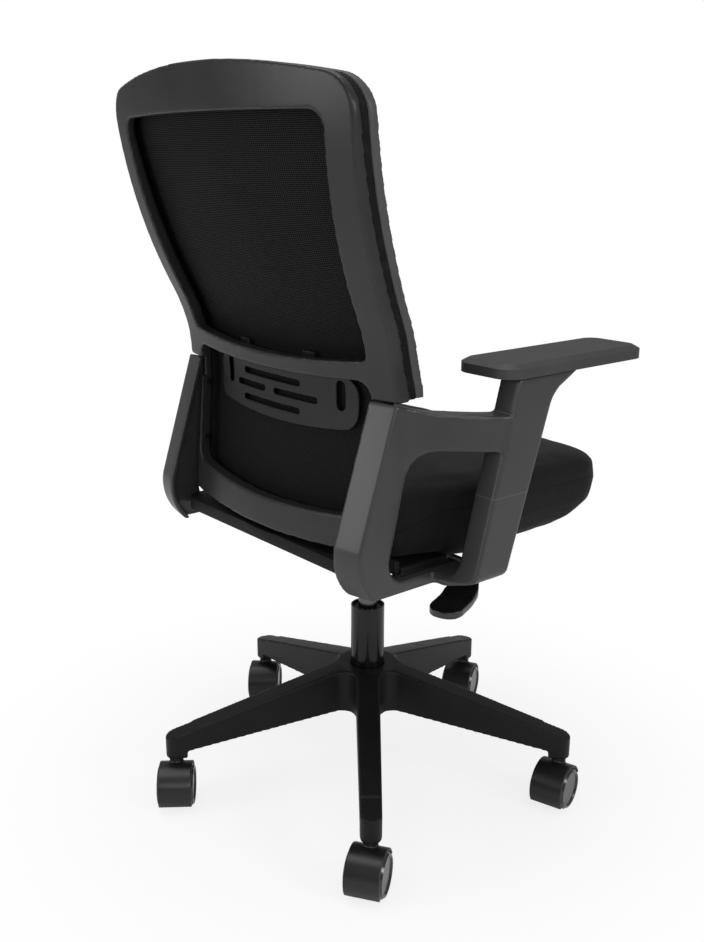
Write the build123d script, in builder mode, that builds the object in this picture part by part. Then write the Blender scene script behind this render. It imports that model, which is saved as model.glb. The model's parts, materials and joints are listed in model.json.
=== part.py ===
from build123d import *
import os
from math import cos, pi, radians, sin, sqrt, tan

# Swivel office chair with a mesh back, loop arms, a gas lift and a five-star caster base.
# Millimetres. The origin is on the floor under the lift axis, +Z is up, the sitter faces -Y.

# Clearances
press_gap = 0.02
running_gap = 0.08
joint_gap = 0.6
seam_gap = 0.5
cut_margin = 1.0

# Casters
wheel_diameter = 60.0
wheel_width = 18.0
wheel_rim = 5.0
wheel_dish = 2.0
wheel_inner_edge = 2.0
wheel_inner_edge_width = 3.0
wheel_outer_edge = 3.0
wheel_outer_edge_width = 4.0
caster_width = 52.0
caster_trail = 12.0
caster_headings = (123.0, 106.0, 118.0, 136.0, 143.0)
fender_gap = 1.5
fender_wall = 3.0
fender_inset = 2.0
fender_start = -36.0
fender_end = 158.0
collar_diameter = 20.0
stem_diameter = 11.0
stem_reach = 24.0
stem_collar_reach = 20.0
stem_chamfer = 1.5
axle_diameter = 8.0
axle_cover = 3.0

# Star base
leg_count = 5
first_leg_angle = 140.5
leg_reach = 295.0
leg_tip_width = 29.0
leg_root_width = 36.0
leg_tip_bottom = 72.0
leg_tip_height = 33.0
leg_tip_underside = 10.0
leg_fillet = 24.0
leg_wall = 4.0
leg_rib = 3.0
leg_rib_count = 4
leg_panel_step = 1.2
leg_panel_end = 27.0
hub_top = 178.0
hub_height = 66.0
hub_flat = 45.0
hub_wall = 26.0
hub_ledge = 4.0

# Gas lift
tube_diameter = 50.0
tube_wall = 2.0
tube_floor = 4.0
tube_rise = 94.0
bush_length = 60.0
bush_drop = 3.0
bush_notches = 6
bush_notch_width = 5.0
cylinder_diameter = 28.0
cylinder_wall = 2.0
cylinder_cap = 10.0
rod_diameter = 10.0
rod_collar = 14.0
rod_collar_height = 8.0
rod_head_height = 12.0
bearing_diameter = 22.0
bearing_height = 6.0
clip_diameter = 15.0
clip_thickness = 1.5
release_pin_diameter = 6.0
release_pin_rise = 6.0
release_pin_length = 18.0
release_pin_well = 20.0
release_pin_chamfer = 0.8
lift_down = 85.0
lift_up = 15.0

# Tilt mechanism
mechanism_gap = 4.0
socket_length = 27.0
socket_wall = 6.0
mechanism_height = 63.0
housing_half_width = 60.0
housing_front = -118.0
housing_slope_start = -85.0
housing_rear = 58.0
housing_floor_rise = 9.0
housing_rear_height = 14.0
housing_wall = 2.5
housing_top_gap = 12.0
housing_corner = 10.0
pivot_y = -100.0
pivot_drop = 24.0
pivot_pin_diameter = 10.0
plate_thickness = 4.0
plate_half_width = 110.0
plate_front = -118.0
plate_rear = 112.0
plate_corner = 14.0
plate_bolt_x = 90.0
plate_bolt_inset = 22.0
plate_opening_half_width = 42.0
plate_opening_front = -32.0
plate_opening_rear = 54.0
flange_thickness = 3.0
flange_half_length = 13.0
flange_gap = 1.0
flange_flat = 1.0
bolt_diameter = 6.0
bolt_head_diameter = 12.0
bolt_head_height = 5.0
bolt_cover = 2.0
back_bolt_diameter = 5.0
back_bolt_head = 7.0
back_bolt_reach = 16.0
back_bolt_spacing = 80.0

# Tension spring and knob
spring_y = -57.0
spring_radius = 17.0
spring_wire = 5.0
spring_turns = 5
spring_arcs = 8
spring_seat_gap = 0.35
knob_diameter = 62.0
knob_height = 32.0
knob_gap = 4.0
knob_lobes = 10
knob_lobe_radius = 6.0
knob_chamfer = 1.5
tension_screw_diameter = 10.0
tension_screw_reach = 12.0

# Height lever
lever_rod_diameter = 8.0
lever_length = 204.0
lever_sweep = 11.3
lever_end_drop = 22.0
lever_overhang = 10.0
lever_pin_gap = 0.8
lever_notch_gap = 3.0
fulcrum_reach = 73.0
fulcrum_length = 14.0
fulcrum_width = 22.0
fulcrum_height = 22.0
fulcrum_corner = 3.0
fulcrum_pin_diameter = 4.0
shelf_thickness = 3.0
shelf_length = 34.0
shelf_width = 40.0
paddle_turn = 83.0
paddle_length = 118.0
paddle_width = 46.0
paddle_neck_width = 20.0
paddle_neck_length = 10.0
paddle_thickness = 10.0
paddle_drop = 24.0
paddle_tip_drop = 6.0
paddle_overrun = 23.6
paddle_outer_neck = 29.5
paddle_outer_blade = 59.0
paddle_inner_neck = 23.6
paddle_inner_blade = 53.1
paddle_slope_start = 23.6
paddle_slope_end = 70.8
paddle_neck_corner = 6.0
paddle_corner = 20.0
paddle_slope_round = 40.0
paddle_neck_wall = 3.0

# Seat
seat_half_width = 240.0
seat_rear_half_width = 196.0
seat_front = -236.0
seat_front_bow = 26.0
seat_taper_start = 6.0
seat_rear = 132.0
seat_rear_bow = 18.0
seat_corner = 48.0
seat_rear_corner = 30.0
board_thickness = 10.0
board_inset = 26.0
board_front_inset = 78.0
board_tail = 46.0
board_tail_half_width = 160.0
cushion_gap = 0.3
cushion_height = 84.0

# Cushion profile: rise from the underside or drop from the top, then what sides, front and rear draw in
cushion_low_profile = (
    (0.0, 16.0, 84.0, 8.0),
    (8.4, 5.0, 44.0, 3.0),
    (23.52, 0.0, 8.0, 0.0),
    (46.2, 0.0, 0.0, 0.0),
)
cushion_high_profile = (
    (12.6, 2.0, 3.0, 2.0),
    (4.2, 10.0, 12.0, 10.0),
    (0.0, 40.0, 48.0, 40.0),
)

# Arms, heights from the underside of the seat board
arm_rear_x = 228.0
arm_front_x = 300.0
arm_rear_wall = 28.0
arm_front_wall = 33.0
arm_lip_thickness = 8.0
arm_flare_start = 125.0
arm_flare_end = 45.0
arm_flare_shift = 8.0
arm_flare_start_round = 50.0
arm_flare_end_round = 60.0
arm_sweep = 30.0
arm_bottom = -26.0
arm_foot_bar = 16.0
arm_straight_height = 76.0
arm_top = 212.5
arm_top_turn = 155.0
arm_bar_turn = 105.0
arm_bar_height = 198.0
arm_bar_front_height = 195.0
arm_bar_overlap = 15.0
arm_bar_round = 60.0
foot_turn_x = 240.0
foot_rise = 20.0
foot_turn_round = 40.0
foot_edge_round = 12.0
foot_inner_round = 24.0
post_rear_low = 93.0
post_rear_high = 22.0
post_front_low = 38.0
post_foot_round = 10.0
post_neck_y = -40.0
post_neck_height = 214.0
post_neck_round = 40.0
post_top_front = -84.0
window_rear_low = 168.0
window_rear_high = 130.0
window_high = 152.0
window_rear_low_round = 26.0
window_rear_high_round = 40.0
arm_rear_top_y = 182.0
arm_rear_bulge_y = 235.0
arm_rear_bulge_height = 41.0
arm_rear_turn_y = 233.0
arm_rear_turn_height = 6.0
arm_rear_foot_y = 212.0
arm_tab_reach = 144.0
arm_tab_width = 70.0
arm_tab_thickness = 12.0
arm_tab_front = 48.0
arm_tab_rear = 130.0
arm_tab_bolt_x = 160.0
arm_edge = 2.0

# Arm pads
pad_rise = 237.5
pad_width = 96.0
pad_length = 266.0
pad_rear = 41.0
pad_thickness = 17.0
pad_corner = 26.0
pad_bevel = 5.0
pad_bevel_width = 9.0

# Back, heights from the underside of the seat board, Y on the rear face at the middle
back_low_y = 197.0
back_low_height = 1.0
back_waist_y = 180.0
back_waist_height = 176.0
back_shoulder_y = 205.0
back_shoulder_height = 311.0
back_crown_y = 277.0
back_crown_height = 601.0
back_crown_taper = 10.0
back_plan_radius = 900.0
back_sweep = 20.0
back_top_margin = 5.0
back_top_drop = 27.0
back_top_half_width = 253.0
back_upper_half_width = 237.0
back_upper_height = 378.0
back_waist_half_width = 224.0
back_waist_level = 256.0
back_step_half_width = 228.0
back_step_height = 213.0
back_stile_half_width = 198.0
back_low_half_width = 190.0
back_bottom = 24.0
back_bottom_sag = 8.0
back_corner = 42.0
back_shoulder_round = 300.0
back_waist_round = 120.0
back_step_round = 3.0
frame_depth = 18.0
stile_recess = 6.0
stile_lip_start = 186.5
top_bar_height = 59.0
upper_window_top_rise = 3.0
upper_window_top_half_width = 211.0
upper_window_bottom = 260.0
upper_window_bottom_half_width = 186.0
upper_window_low_corner = 9.0
upper_window_high_corner = 20.0
upper_bar_sag = 11.0
lower_window_top = 235.0
lower_window_bottom = 68.0
lower_window_top_half_width = 188.0
lower_window_bottom_half_width = 179.0
lower_window_corner = 20.0
lower_bar_sag = 7.0
foot_bar_sag = 12.0
mesh_frame_gap = 0.2
mesh_frame_depth = 8.8
mesh_frame_width = 14.0
mesh_frame_margin = 2.0
mesh_frame_bottom = 32.0
mesh_thickness = 1.2
mesh_rim_gap = 0.2
mesh_rim_depth = 12.0
mesh_rim_width = 9.0
mesh_rim_margin = 0.6
mesh_rim_end_gap = 3.0

# Lumbar support
lumbar_half_width = 150.0
lumbar_top = 231.0
lumbar_bottom = 166.0
lumbar_sag = 10.0
lumbar_thickness = 3.0
lumbar_gap = 1.6
lumbar_corner = 24.0
lumbar_slot = 8.0
lumbar_slots = ((54.75, -46.5, 82.5), (36.75, 30.0, 100.5), (36.75, -79.5, 10.5), (18.0, -46.5, 82.5))
lumbar_hole_x = 121.0
lumbar_hole_width = 15.0
lumbar_hole_height = 38.0
lumbar_hole_level = 206.0
tongue_x = 70.0
tongue_width = 22.0
tongue_top = 256.0
tongue_gap = 0.8
guide_bottom = 235.0
guide_height = 12.0
guide_wall = 4.0
guide_strip = 1.6

# Levels that follow from the sizes above
wheel_radius = wheel_diameter / 2
leg_tip_top = leg_tip_bottom + leg_tip_height
hub_bottom = hub_top - hub_height
tube_bottom = hub_bottom + hub_ledge
tube_top = hub_top + tube_rise
tube_inner_floor = tube_bottom + tube_floor
socket_bottom = tube_top + lift_down + mechanism_gap
cylinder_top = socket_bottom + socket_length
pin_top = cylinder_top + release_pin_rise
seat_base = socket_bottom + mechanism_height
plate_bottom = seat_base - plate_thickness
housing_floor = socket_bottom + housing_floor_rise
housing_top = seat_base - housing_top_gap
pivot_z = seat_base - pivot_drop
board_top = seat_base + board_thickness
back_top = back_crown_height - back_top_margin
upper_window_top = back_top - top_bar_height
leg_angles = [first_leg_angle + 360 / leg_count * k for k in range(leg_count)]
upright = (Align.CENTER, Align.CENTER, Align.MIN)

os.makedirs("parts", exist_ok=True)


def save(part, name):
    """Label one finished piece and write it to its own file."""
    part.label = name
    export_step(part, f"parts/{name}.step")


# Casters, modelled once with the stem on Z and the wheels trailing along +X
wheel_plane = Plane(origin=(caster_trail, 0, wheel_radius), x_dir=(1, 0, 0), z_dir=(0, -1, 0))
wheel_outer_face = caster_width / 2
wheel_inner_face = wheel_outer_face - wheel_width
web_half_width = wheel_inner_face - joint_gap
fender_inner = wheel_radius + fender_gap
fender_outer = fender_inner + fender_wall
fender_half_width = wheel_outer_face - fender_inset
collar_top = leg_tip_bottom - joint_gap
collar_height = collar_top - wheel_radius
stem_bottom = collar_top - stem_collar_reach
stem_top = leg_tip_bottom + stem_reach
sector_reach = 2 * fender_outer
sector_turns = [fender_start + (fender_end - fender_start) * k / 4 for k in range(5)]
sector_rim = [(sector_reach * cos(radians(a)), sector_reach * sin(radians(a))) for a in sector_turns]

with BuildPart() as caster_hood:
    with BuildSketch(wheel_plane):
        Circle(fender_outer)
        with BuildLine():
            Polyline((0, 0), *sector_rim, close=True)
        make_face(mode=Mode.INTERSECT)
    extrude(amount=fender_half_width, both=True)
    with Locations((0, 0, wheel_radius)):
        Cylinder(collar_diameter / 2, collar_height, align=upright)
    for side in (1, -1):
        with BuildSketch(wheel_plane.offset(side * web_half_width)):
            Circle(fender_inner)
        extrude(amount=side * caster_width, mode=Mode.SUBTRACT)
    with BuildSketch(wheel_plane):
        Circle(wheel_radius - wheel_rim)
    extrude(amount=web_half_width, both=True)
    with BuildSketch(wheel_plane):
        Circle(axle_diameter / 2 + press_gap)
    extrude(amount=caster_width, both=True, mode=Mode.SUBTRACT)
    with Locations((0, 0, stem_bottom)):
        Cylinder(stem_diameter / 2 + press_gap, stem_top, align=upright, mode=Mode.SUBTRACT)

with BuildPart() as caster_stem:
    with Locations((0, 0, stem_bottom)):
        Cylinder(stem_diameter / 2, stem_top - stem_bottom, align=upright)
    chamfer(caster_stem.edges().group_by(Axis.Z)[-1], stem_chamfer)

with BuildPart() as caster_axle:
    with BuildSketch(wheel_plane):
        Circle(axle_diameter / 2)
    extrude(amount=wheel_outer_face - axle_cover, both=True)

# Wheel section: X is the radius, Y runs from the inner face of the wheel outwards
hub_radius = axle_diameter
dish_radius = wheel_radius - wheel_rim
bore_depth = wheel_width - axle_cover + joint_gap
with BuildPart() as caster_wheel:
    with BuildSketch(Plane.XY):
        with BuildLine():
            Polyline(
                (0, bore_depth),
                (axle_diameter / 2 + running_gap, bore_depth),
                (axle_diameter / 2 + running_gap, 0),
                (hub_radius, 0),
                (hub_radius, wheel_width / 2),
                (dish_radius, wheel_width / 2),
                (dish_radius, 0),
                (wheel_radius - wheel_inner_edge, 0),
                (wheel_radius, wheel_inner_edge_width),
                (wheel_radius, wheel_width - wheel_outer_edge_width),
                (wheel_radius - wheel_outer_edge, wheel_width),
                (dish_radius, wheel_width),
                (dish_radius - wheel_dish, wheel_width - wheel_dish),
                (0, wheel_width - wheel_dish),
                close=True,
            )
        make_face()
    revolve(axis=Axis.Y)

for k in range(leg_count):
    turn = radians(leg_angles[k])
    heading = radians(caster_headings[k])
    stand = Plane(
        origin=(leg_reach * cos(turn), leg_reach * sin(turn), 0),
        x_dir=(cos(heading), sin(heading), 0),
        z_dir=(0, 0, 1),
    )
    save(stand.location * caster_hood.part, f"caster_hood_{k + 1}")
    save(stand.location * caster_stem.part, f"caster_stem_{k + 1}")
    save(stand.location * caster_axle.part, f"caster_axle_{k + 1}")
    left_seat = Location((caster_trail, wheel_inner_face, wheel_radius))
    right_seat = Location((caster_trail, -wheel_inner_face, wheel_radius), (0, 0, 180))
    save(stand.location * left_seat * caster_wheel.part, f"caster_wheel_left_{k + 1}")
    save(stand.location * right_seat * caster_wheel.part, f"caster_wheel_right_{k + 1}")

# Star base: the plan of the five legs, cut to a revolved side profile
tip_round = leg_tip_width / 2
tip_end = leg_reach + tip_round
panel_edge = leg_reach - leg_panel_end
underside_z = leg_tip_bottom + leg_tip_underside
step_slope = (hub_top - leg_tip_top) / (tip_end - hub_flat)
panel_edge_z = leg_tip_top + step_slope * (tip_end - panel_edge)


def leg_plan(inset):
    """Plan of the five tapered legs, drawn in from the outline by an inset."""
    with BuildSketch() as plan:
        for angle in leg_angles:
            with PolarLocations(0, 1, start_angle=angle):
                with BuildLine(mode=Mode.PRIVATE) as side:
                    Polyline(
                        (0, -leg_root_width / 2 + inset),
                        (leg_reach, -tip_round + inset),
                        (leg_reach, tip_round - inset),
                        (0, leg_root_width / 2 - inset),
                        close=True,
                    )
                add(make_face(side.edges(), mode=Mode.PRIVATE))
            with PolarLocations(leg_reach, 1, start_angle=angle):
                Circle(tip_round - inset)
        inner = plan.vertices().sort_by_distance((0, 0))[0:leg_count]
        fillet(inner, leg_fillet + inset)
    return plan.sketch


with BuildPart() as star_base:
    with BuildSketch(Plane.XZ):
        with BuildLine():
            Polyline(
                (0, hub_bottom),
                (hub_flat, hub_bottom),
                (leg_reach - tip_round, underside_z),
                (leg_reach - tip_round, leg_tip_bottom),
                (tip_end + cut_margin, leg_tip_bottom),
                (tip_end + cut_margin, leg_tip_top - leg_panel_step),
                (panel_edge, panel_edge_z - leg_panel_step),
                (panel_edge, panel_edge_z),
                (hub_flat, hub_top),
                (0, hub_top),
                close=True,
            )
        make_face()
    revolve(axis=Axis.Z)
    add(leg_plan(0))
    extrude(amount=hub_top + cut_margin, mode=Mode.INTERSECT)

with BuildPart() as leg_hollow:
    with BuildSketch(Plane.XZ):
        with BuildLine():
            Polyline(
                (hub_wall + tube_diameter / 2, leg_tip_bottom - cut_margin),
                (leg_reach - tip_round - joint_gap, leg_tip_bottom - cut_margin),
                (leg_reach - tip_round - joint_gap, leg_tip_top - leg_panel_step - leg_wall),
                (hub_wall + tube_diameter / 2, hub_top - leg_wall - leg_panel_step - step_slope * hub_wall),
                close=True,
            )
        make_face()
    revolve(axis=Axis.Z)
    add(leg_plan(leg_wall))
    extrude(amount=hub_top + cut_margin, mode=Mode.INTERSECT)
    rib_span = leg_reach - tip_round - hub_wall - tube_diameter / 2
    for n in range(leg_rib_count):
        rib_reach = hub_wall + tube_diameter / 2 + rib_span * (n + 1) / (leg_rib_count + 1)
        with PolarLocations(rib_reach, leg_count, start_angle=first_leg_angle):
            Box(leg_rib, leg_root_width * 2, hub_top * 2, mode=Mode.SUBTRACT)

with BuildPart() as star_base_cut:
    add(star_base.part)
    add(leg_hollow.part, mode=Mode.SUBTRACT)
    with Locations((0, 0, tube_bottom)):
        Cylinder(tube_diameter / 2 + press_gap, hub_height, align=upright, mode=Mode.SUBTRACT)
    Cylinder(clip_diameter / 2 + 2 * joint_gap, hub_top, align=upright, mode=Mode.SUBTRACT)
    with PolarLocations(leg_reach, leg_count, start_angle=first_leg_angle):
        Cylinder(stem_diameter / 2 + running_gap, stem_top + cut_margin, align=upright, mode=Mode.SUBTRACT)
save(star_base_cut.part, "star_base")

# Gas lift
tube_inner = tube_diameter / 2 - tube_wall
cylinder_radius = cylinder_diameter / 2
cylinder_bore = cylinder_radius - cylinder_wall
rod_radius = rod_diameter / 2
bearing_top = tube_inner_floor + bearing_height
collar_bottom = bearing_top
bush_top = tube_top - bush_drop
bush_bottom = bush_top - bush_length
cylinder_bottom = collar_bottom + rod_collar_height + lift_down + 2 * joint_gap
rod_bottom = tube_bottom - 3 * clip_thickness - joint_gap
head_bottom = cylinder_bottom + lift_up + cylinder_wall + 4 * joint_gap + cylinder_cap
head_top = head_bottom + rod_head_height

with BuildPart() as lift_outer_tube:
    with Locations((0, 0, tube_bottom)):
        Cylinder(tube_diameter / 2, tube_top - tube_bottom, align=upright)
    with Locations((0, 0, tube_inner_floor)):
        Cylinder(tube_inner, tube_top, align=upright, mode=Mode.SUBTRACT)
    Cylinder(rod_radius + running_gap, tube_top, align=upright, mode=Mode.SUBTRACT)
save(lift_outer_tube.part, "lift_outer_tube")

with BuildPart() as lift_guide_bush:
    with Locations((0, 0, bush_bottom)):
        Cylinder(tube_inner - press_gap, bush_length, align=upright)
        Cylinder(cylinder_radius + running_gap, bush_length, align=upright, mode=Mode.SUBTRACT)
    with PolarLocations(tube_inner, bush_notches):
        with Locations((0, 0, bush_top)):
            Box(bush_notch_width, bush_notch_width, 2 * bush_notch_width, mode=Mode.SUBTRACT)
save(lift_guide_bush.part, "lift_guide_bush")

with BuildPart() as lift_thrust_bearing:
    with Locations((0, 0, tube_inner_floor)):
        Cylinder(bearing_diameter / 2, bearing_height - joint_gap, align=upright)
        Cylinder(rod_radius + running_gap, bearing_height, align=upright, mode=Mode.SUBTRACT)
save(lift_thrust_bearing.part, "lift_thrust_bearing")

with BuildPart() as lift_piston_rod:
    with Locations((0, 0, rod_bottom)):
        Cylinder(rod_radius, head_top - rod_bottom, align=upright)
    with Locations((0, 0, collar_bottom)):
        Cylinder(rod_collar / 2, rod_collar_height, align=upright)
    with Locations((0, 0, head_bottom)):
        Cylinder(cylinder_bore - running_gap, rod_head_height, align=upright)
save(lift_piston_rod.part, "lift_piston_rod")

with BuildPart() as lift_retaining_clip:
    with Locations((0, 0, tube_bottom - clip_thickness - joint_gap)):
        Cylinder(clip_diameter / 2, clip_thickness, align=upright)
        Cylinder(rod_radius + press_gap, clip_thickness, align=upright, mode=Mode.SUBTRACT)
save(lift_retaining_clip.part, "lift_retaining_clip")

with BuildPart() as lift_cylinder:
    with Locations((0, 0, cylinder_bottom)):
        Cylinder(cylinder_radius, cylinder_top - cylinder_bottom, align=upright)
    with Locations((0, 0, cylinder_bottom + cylinder_cap)):
        bore_length = cylinder_top - cylinder_bottom - 3 * cylinder_cap
        Cylinder(cylinder_bore, bore_length, align=upright, mode=Mode.SUBTRACT)
    Cylinder(rod_radius + running_gap, cylinder_bottom + 2 * cylinder_cap, align=upright, mode=Mode.SUBTRACT)
    with Locations((0, 0, cylinder_top - release_pin_well)):
        well_radius = release_pin_diameter / 2 + running_gap
        Cylinder(well_radius, release_pin_well, align=upright, mode=Mode.SUBTRACT)
save(lift_cylinder.part, "lift_cylinder")

with BuildPart() as lift_release_pin:
    with Locations((0, 0, pin_top - release_pin_length)):
        Cylinder(release_pin_diameter / 2, release_pin_length, align=upright)
    chamfer(lift_release_pin.edges().group_by(Axis.Z)[-1], release_pin_chamfer)
save(lift_release_pin.part, "lift_release_pin")

# Lever frame: local X runs outwards along the lever seen in plan, local Z is up
lever_angle = radians(lever_sweep)
lever_out = Vector(-cos(lever_angle), -sin(lever_angle), 0)
lever_plane = Plane(origin=(0, 0, 0), x_dir=lever_out, z_dir=(0, 0, 1))
lever_slope = lever_end_drop / lever_length
rod_rise = lever_rod_diameter / 2 * sqrt(1 + lever_slope ** 2)
lever_start_z = pin_top + lever_pin_gap + rod_rise
fulcrum_z = lever_start_z - lever_slope * fulcrum_reach
shelf_top = fulcrum_z - fulcrum_height / 2 - 0.5 * joint_gap
lever_end_z = lever_start_z - lever_end_drop

# Tilt mechanism
housing_length = housing_rear - housing_front
housing_middle = (housing_front + housing_rear) / 2
notch_y = -tan(lever_angle) * housing_half_width
notch_bottom = lever_start_z - lever_slope * housing_half_width - lever_rod_diameter / 2 - lever_notch_gap
with BuildPart() as mechanism_housing:
    with BuildSketch(Plane.YZ):
        with BuildLine():
            Polyline(
                (housing_front, housing_floor),
                (housing_rear, housing_floor),
                (housing_rear, housing_floor + housing_rear_height),
                (housing_slope_start, housing_top),
                (housing_front, housing_top),
                close=True,
            )
        make_face()
    extrude(amount=housing_half_width, both=True)
    fillet(mechanism_housing.edges().filter_by(Axis.Z), housing_corner)
    with Locations((0, housing_middle, housing_floor + housing_wall)):
        Box(
            2 * (housing_half_width - housing_wall),
            housing_length - 2 * housing_wall,
            mechanism_height,
            align=upright,
            mode=Mode.SUBTRACT,
        )
    with Locations((0, 0, socket_bottom)):
        Cylinder(cylinder_radius + socket_wall, socket_length, align=upright)
        Cylinder(cylinder_radius + press_gap, mechanism_height, align=upright, mode=Mode.SUBTRACT)
    with Locations((-housing_half_width, notch_y, notch_bottom)):
        notch_width = lever_rod_diameter + 2 * lever_notch_gap
        Box(4 * housing_wall, notch_width, mechanism_height, align=upright, mode=Mode.SUBTRACT)
    with BuildSketch(Plane.YZ):
        with Locations((pivot_y, pivot_z)):
            Circle(pivot_pin_diameter / 2 + press_gap)
    extrude(amount=2 * housing_half_width, both=True, mode=Mode.SUBTRACT)
    with Locations((0, spring_y, housing_floor)):
        screw_hole = tension_screw_diameter / 2 + running_gap
        Cylinder(screw_hole, housing_wall * 2, mode=Mode.SUBTRACT)
    shelf_x = -housing_half_width - shelf_length / 2
    with Locations((shelf_x, -tan(lever_angle) * fulcrum_reach, shelf_top - shelf_thickness)):
        Box(shelf_length, shelf_width, shelf_thickness, align=upright)
save(mechanism_housing.part, "mechanism_housing")

flange_inner = housing_half_width + flange_gap
flange_outer = flange_inner + flange_thickness
with BuildPart() as tilt_pivot_pin:
    with BuildSketch(Plane.YZ):
        with Locations((pivot_y, pivot_z)):
            Circle(pivot_pin_diameter / 2)
    extrude(amount=flange_outer + flange_thickness, both=True)
save(tilt_pivot_pin.part, "tilt_pivot_pin")

plate_length = plate_rear - plate_front
plate_middle = (plate_front + plate_rear) / 2
plate_bolts = [(x, y) for x in (-plate_bolt_x, plate_bolt_x)
               for y in (plate_front + plate_bolt_inset, plate_rear - plate_bolt_inset)]
with BuildPart() as seat_plate:
    with BuildSketch(Plane.XY.offset(plate_bottom)):
        with Locations((0, plate_middle)):
            RectangleRounded(2 * plate_half_width, plate_length, plate_corner)
        opening_length = plate_opening_rear - plate_opening_front
        with Locations((0, (plate_opening_front + plate_opening_rear) / 2)):
            RectangleRounded(2 * plate_opening_half_width, opening_length, plate_corner, mode=Mode.SUBTRACT)
        with Locations(*plate_bolts):
            Circle(bolt_diameter / 2 + press_gap, mode=Mode.SUBTRACT)
    extrude(amount=plate_thickness)
    for side in (1, -1):
        with BuildSketch(Plane.YZ.offset(side * flange_inner)):
            with BuildLine():
                FilletPolyline(
                    (pivot_y - flange_half_length, plate_bottom),
                    (pivot_y - flange_half_length, pivot_z - flange_half_length),
                    (pivot_y + flange_half_length, pivot_z - flange_half_length),
                    (pivot_y + flange_half_length, plate_bottom),
                    radius=[0, flange_half_length - flange_flat, flange_half_length - flange_flat, 0],
                    close=True,
                )
            make_face()
            with Locations((pivot_y, pivot_z)):
                Circle(pivot_pin_diameter / 2 + running_gap, mode=Mode.SUBTRACT)
        extrude(amount=side * flange_thickness)
save(seat_plate.part, "seat_plate")

# Bolts that hold the plate and the arm tabs to the seat board, heads down
bolt_grip = board_thickness - bolt_cover


def bolt_set(places, head_top):
    """Hex-head bolts standing up from their heads into the seat board."""
    with BuildPart() as bolts:
        with BuildSketch(Plane.XY.offset(head_top - bolt_head_height)):
            with Locations(*places):
                RegularPolygon(bolt_head_diameter / 2, 6)
        extrude(amount=bolt_head_height)
        with BuildSketch(Plane.XY.offset(head_top)):
            with Locations(*places):
                Circle(bolt_diameter / 2)
        extrude(amount=seat_base + bolt_grip - head_top)
    return bolts.part


tab_middle = (arm_tab_front + arm_tab_rear) / 2
tab_half = (arm_tab_rear - arm_tab_front) / 4
arm_bolt_places = [(x, tab_middle + y) for x in (-arm_tab_bolt_x, arm_tab_bolt_x)
                   for y in (-tab_half, tab_half)]
save(bolt_set(plate_bolts, plate_bottom), "seat_plate_bolts")
save(bolt_set(arm_bolt_places, seat_base - arm_tab_thickness), "arm_bolts")

# Tension spring: one tube swept along a helix drawn as pairs of tangent arcs
spring_bottom = housing_floor + housing_wall + spring_seat_gap + spring_wire / 2
spring_top = plate_bottom - spring_seat_gap - spring_wire / 2
spring_pitch = (spring_top - spring_bottom) / spring_turns


def helix_point(turn):
    """Place and unit tangent on the helix after a number of turns."""
    angle = 2 * pi * turn
    place = Vector(
        spring_radius * cos(angle),
        spring_y + spring_radius * sin(angle),
        spring_bottom + spring_pitch * turn,
    )
    way = Vector(-spring_radius * sin(angle), spring_radius * cos(angle), spring_pitch / (2 * pi))
    return place, way.normalized()


spring_edges = []
for n in range(spring_turns * spring_arcs):
    start, start_way = helix_point(n / spring_arcs)
    end, end_way = helix_point((n + 1) / spring_arcs)
    chord = end - start
    both = start_way + end_way
    square = 2 * (start_way.dot(end_way) - 1)
    linear = -2 * chord.dot(both)
    reach = (-linear - sqrt(linear ** 2 - 4 * square * chord.dot(chord))) / (2 * square)
    if reach < 0:
        reach = (-linear + sqrt(linear ** 2 - 4 * square * chord.dot(chord))) / (2 * square)
    joint = (start + start_way * reach + end - end_way * reach) * 0.5
    spring_edges.append(Edge.make_tangent_arc(start, start_way, joint))
    spring_edges.append(Edge.make_tangent_arc(joint, spring_edges[-1] % 1, end))
spring_path = Wire(spring_edges)
with BuildPart() as tension_spring:
    with BuildSketch(Plane(origin=spring_path @ 0, z_dir=spring_path % 0)):
        Circle(spring_wire / 2)
    sweep(path=spring_path)
save(tension_spring.part, "tension_spring")
print("tension spring gap between turns", round(spring_pitch - spring_wire, 2))

# Tension knob and screw
knob_top = housing_floor - knob_gap
with BuildPart() as tension_knob:
    with BuildSketch(Plane.XY.offset(knob_top - knob_height)):
        with Locations((0, spring_y)):
            Circle(knob_diameter / 2)
            with PolarLocations(knob_diameter / 2 + knob_lobe_radius / 2, knob_lobes):
                Circle(knob_lobe_radius, mode=Mode.SUBTRACT)
    extrude(amount=knob_height)
    chamfer(tension_knob.edges().group_by(Axis.Z)[0], knob_chamfer)
    with Locations((0, spring_y, knob_top - knob_height / 2)):
        Cylinder(tension_screw_diameter / 2 + press_gap, knob_height, align=upright, mode=Mode.SUBTRACT)
save(tension_knob.part, "tension_knob")

with BuildPart() as tension_screw:
    screw_bottom = knob_top - knob_height / 2
    screw_top = housing_floor + housing_wall + tension_screw_reach
    with Locations((0, spring_y, screw_bottom)):
        Cylinder(tension_screw_diameter / 2, screw_top - screw_bottom, align=upright)
save(tension_screw.part, "tension_screw")

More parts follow.
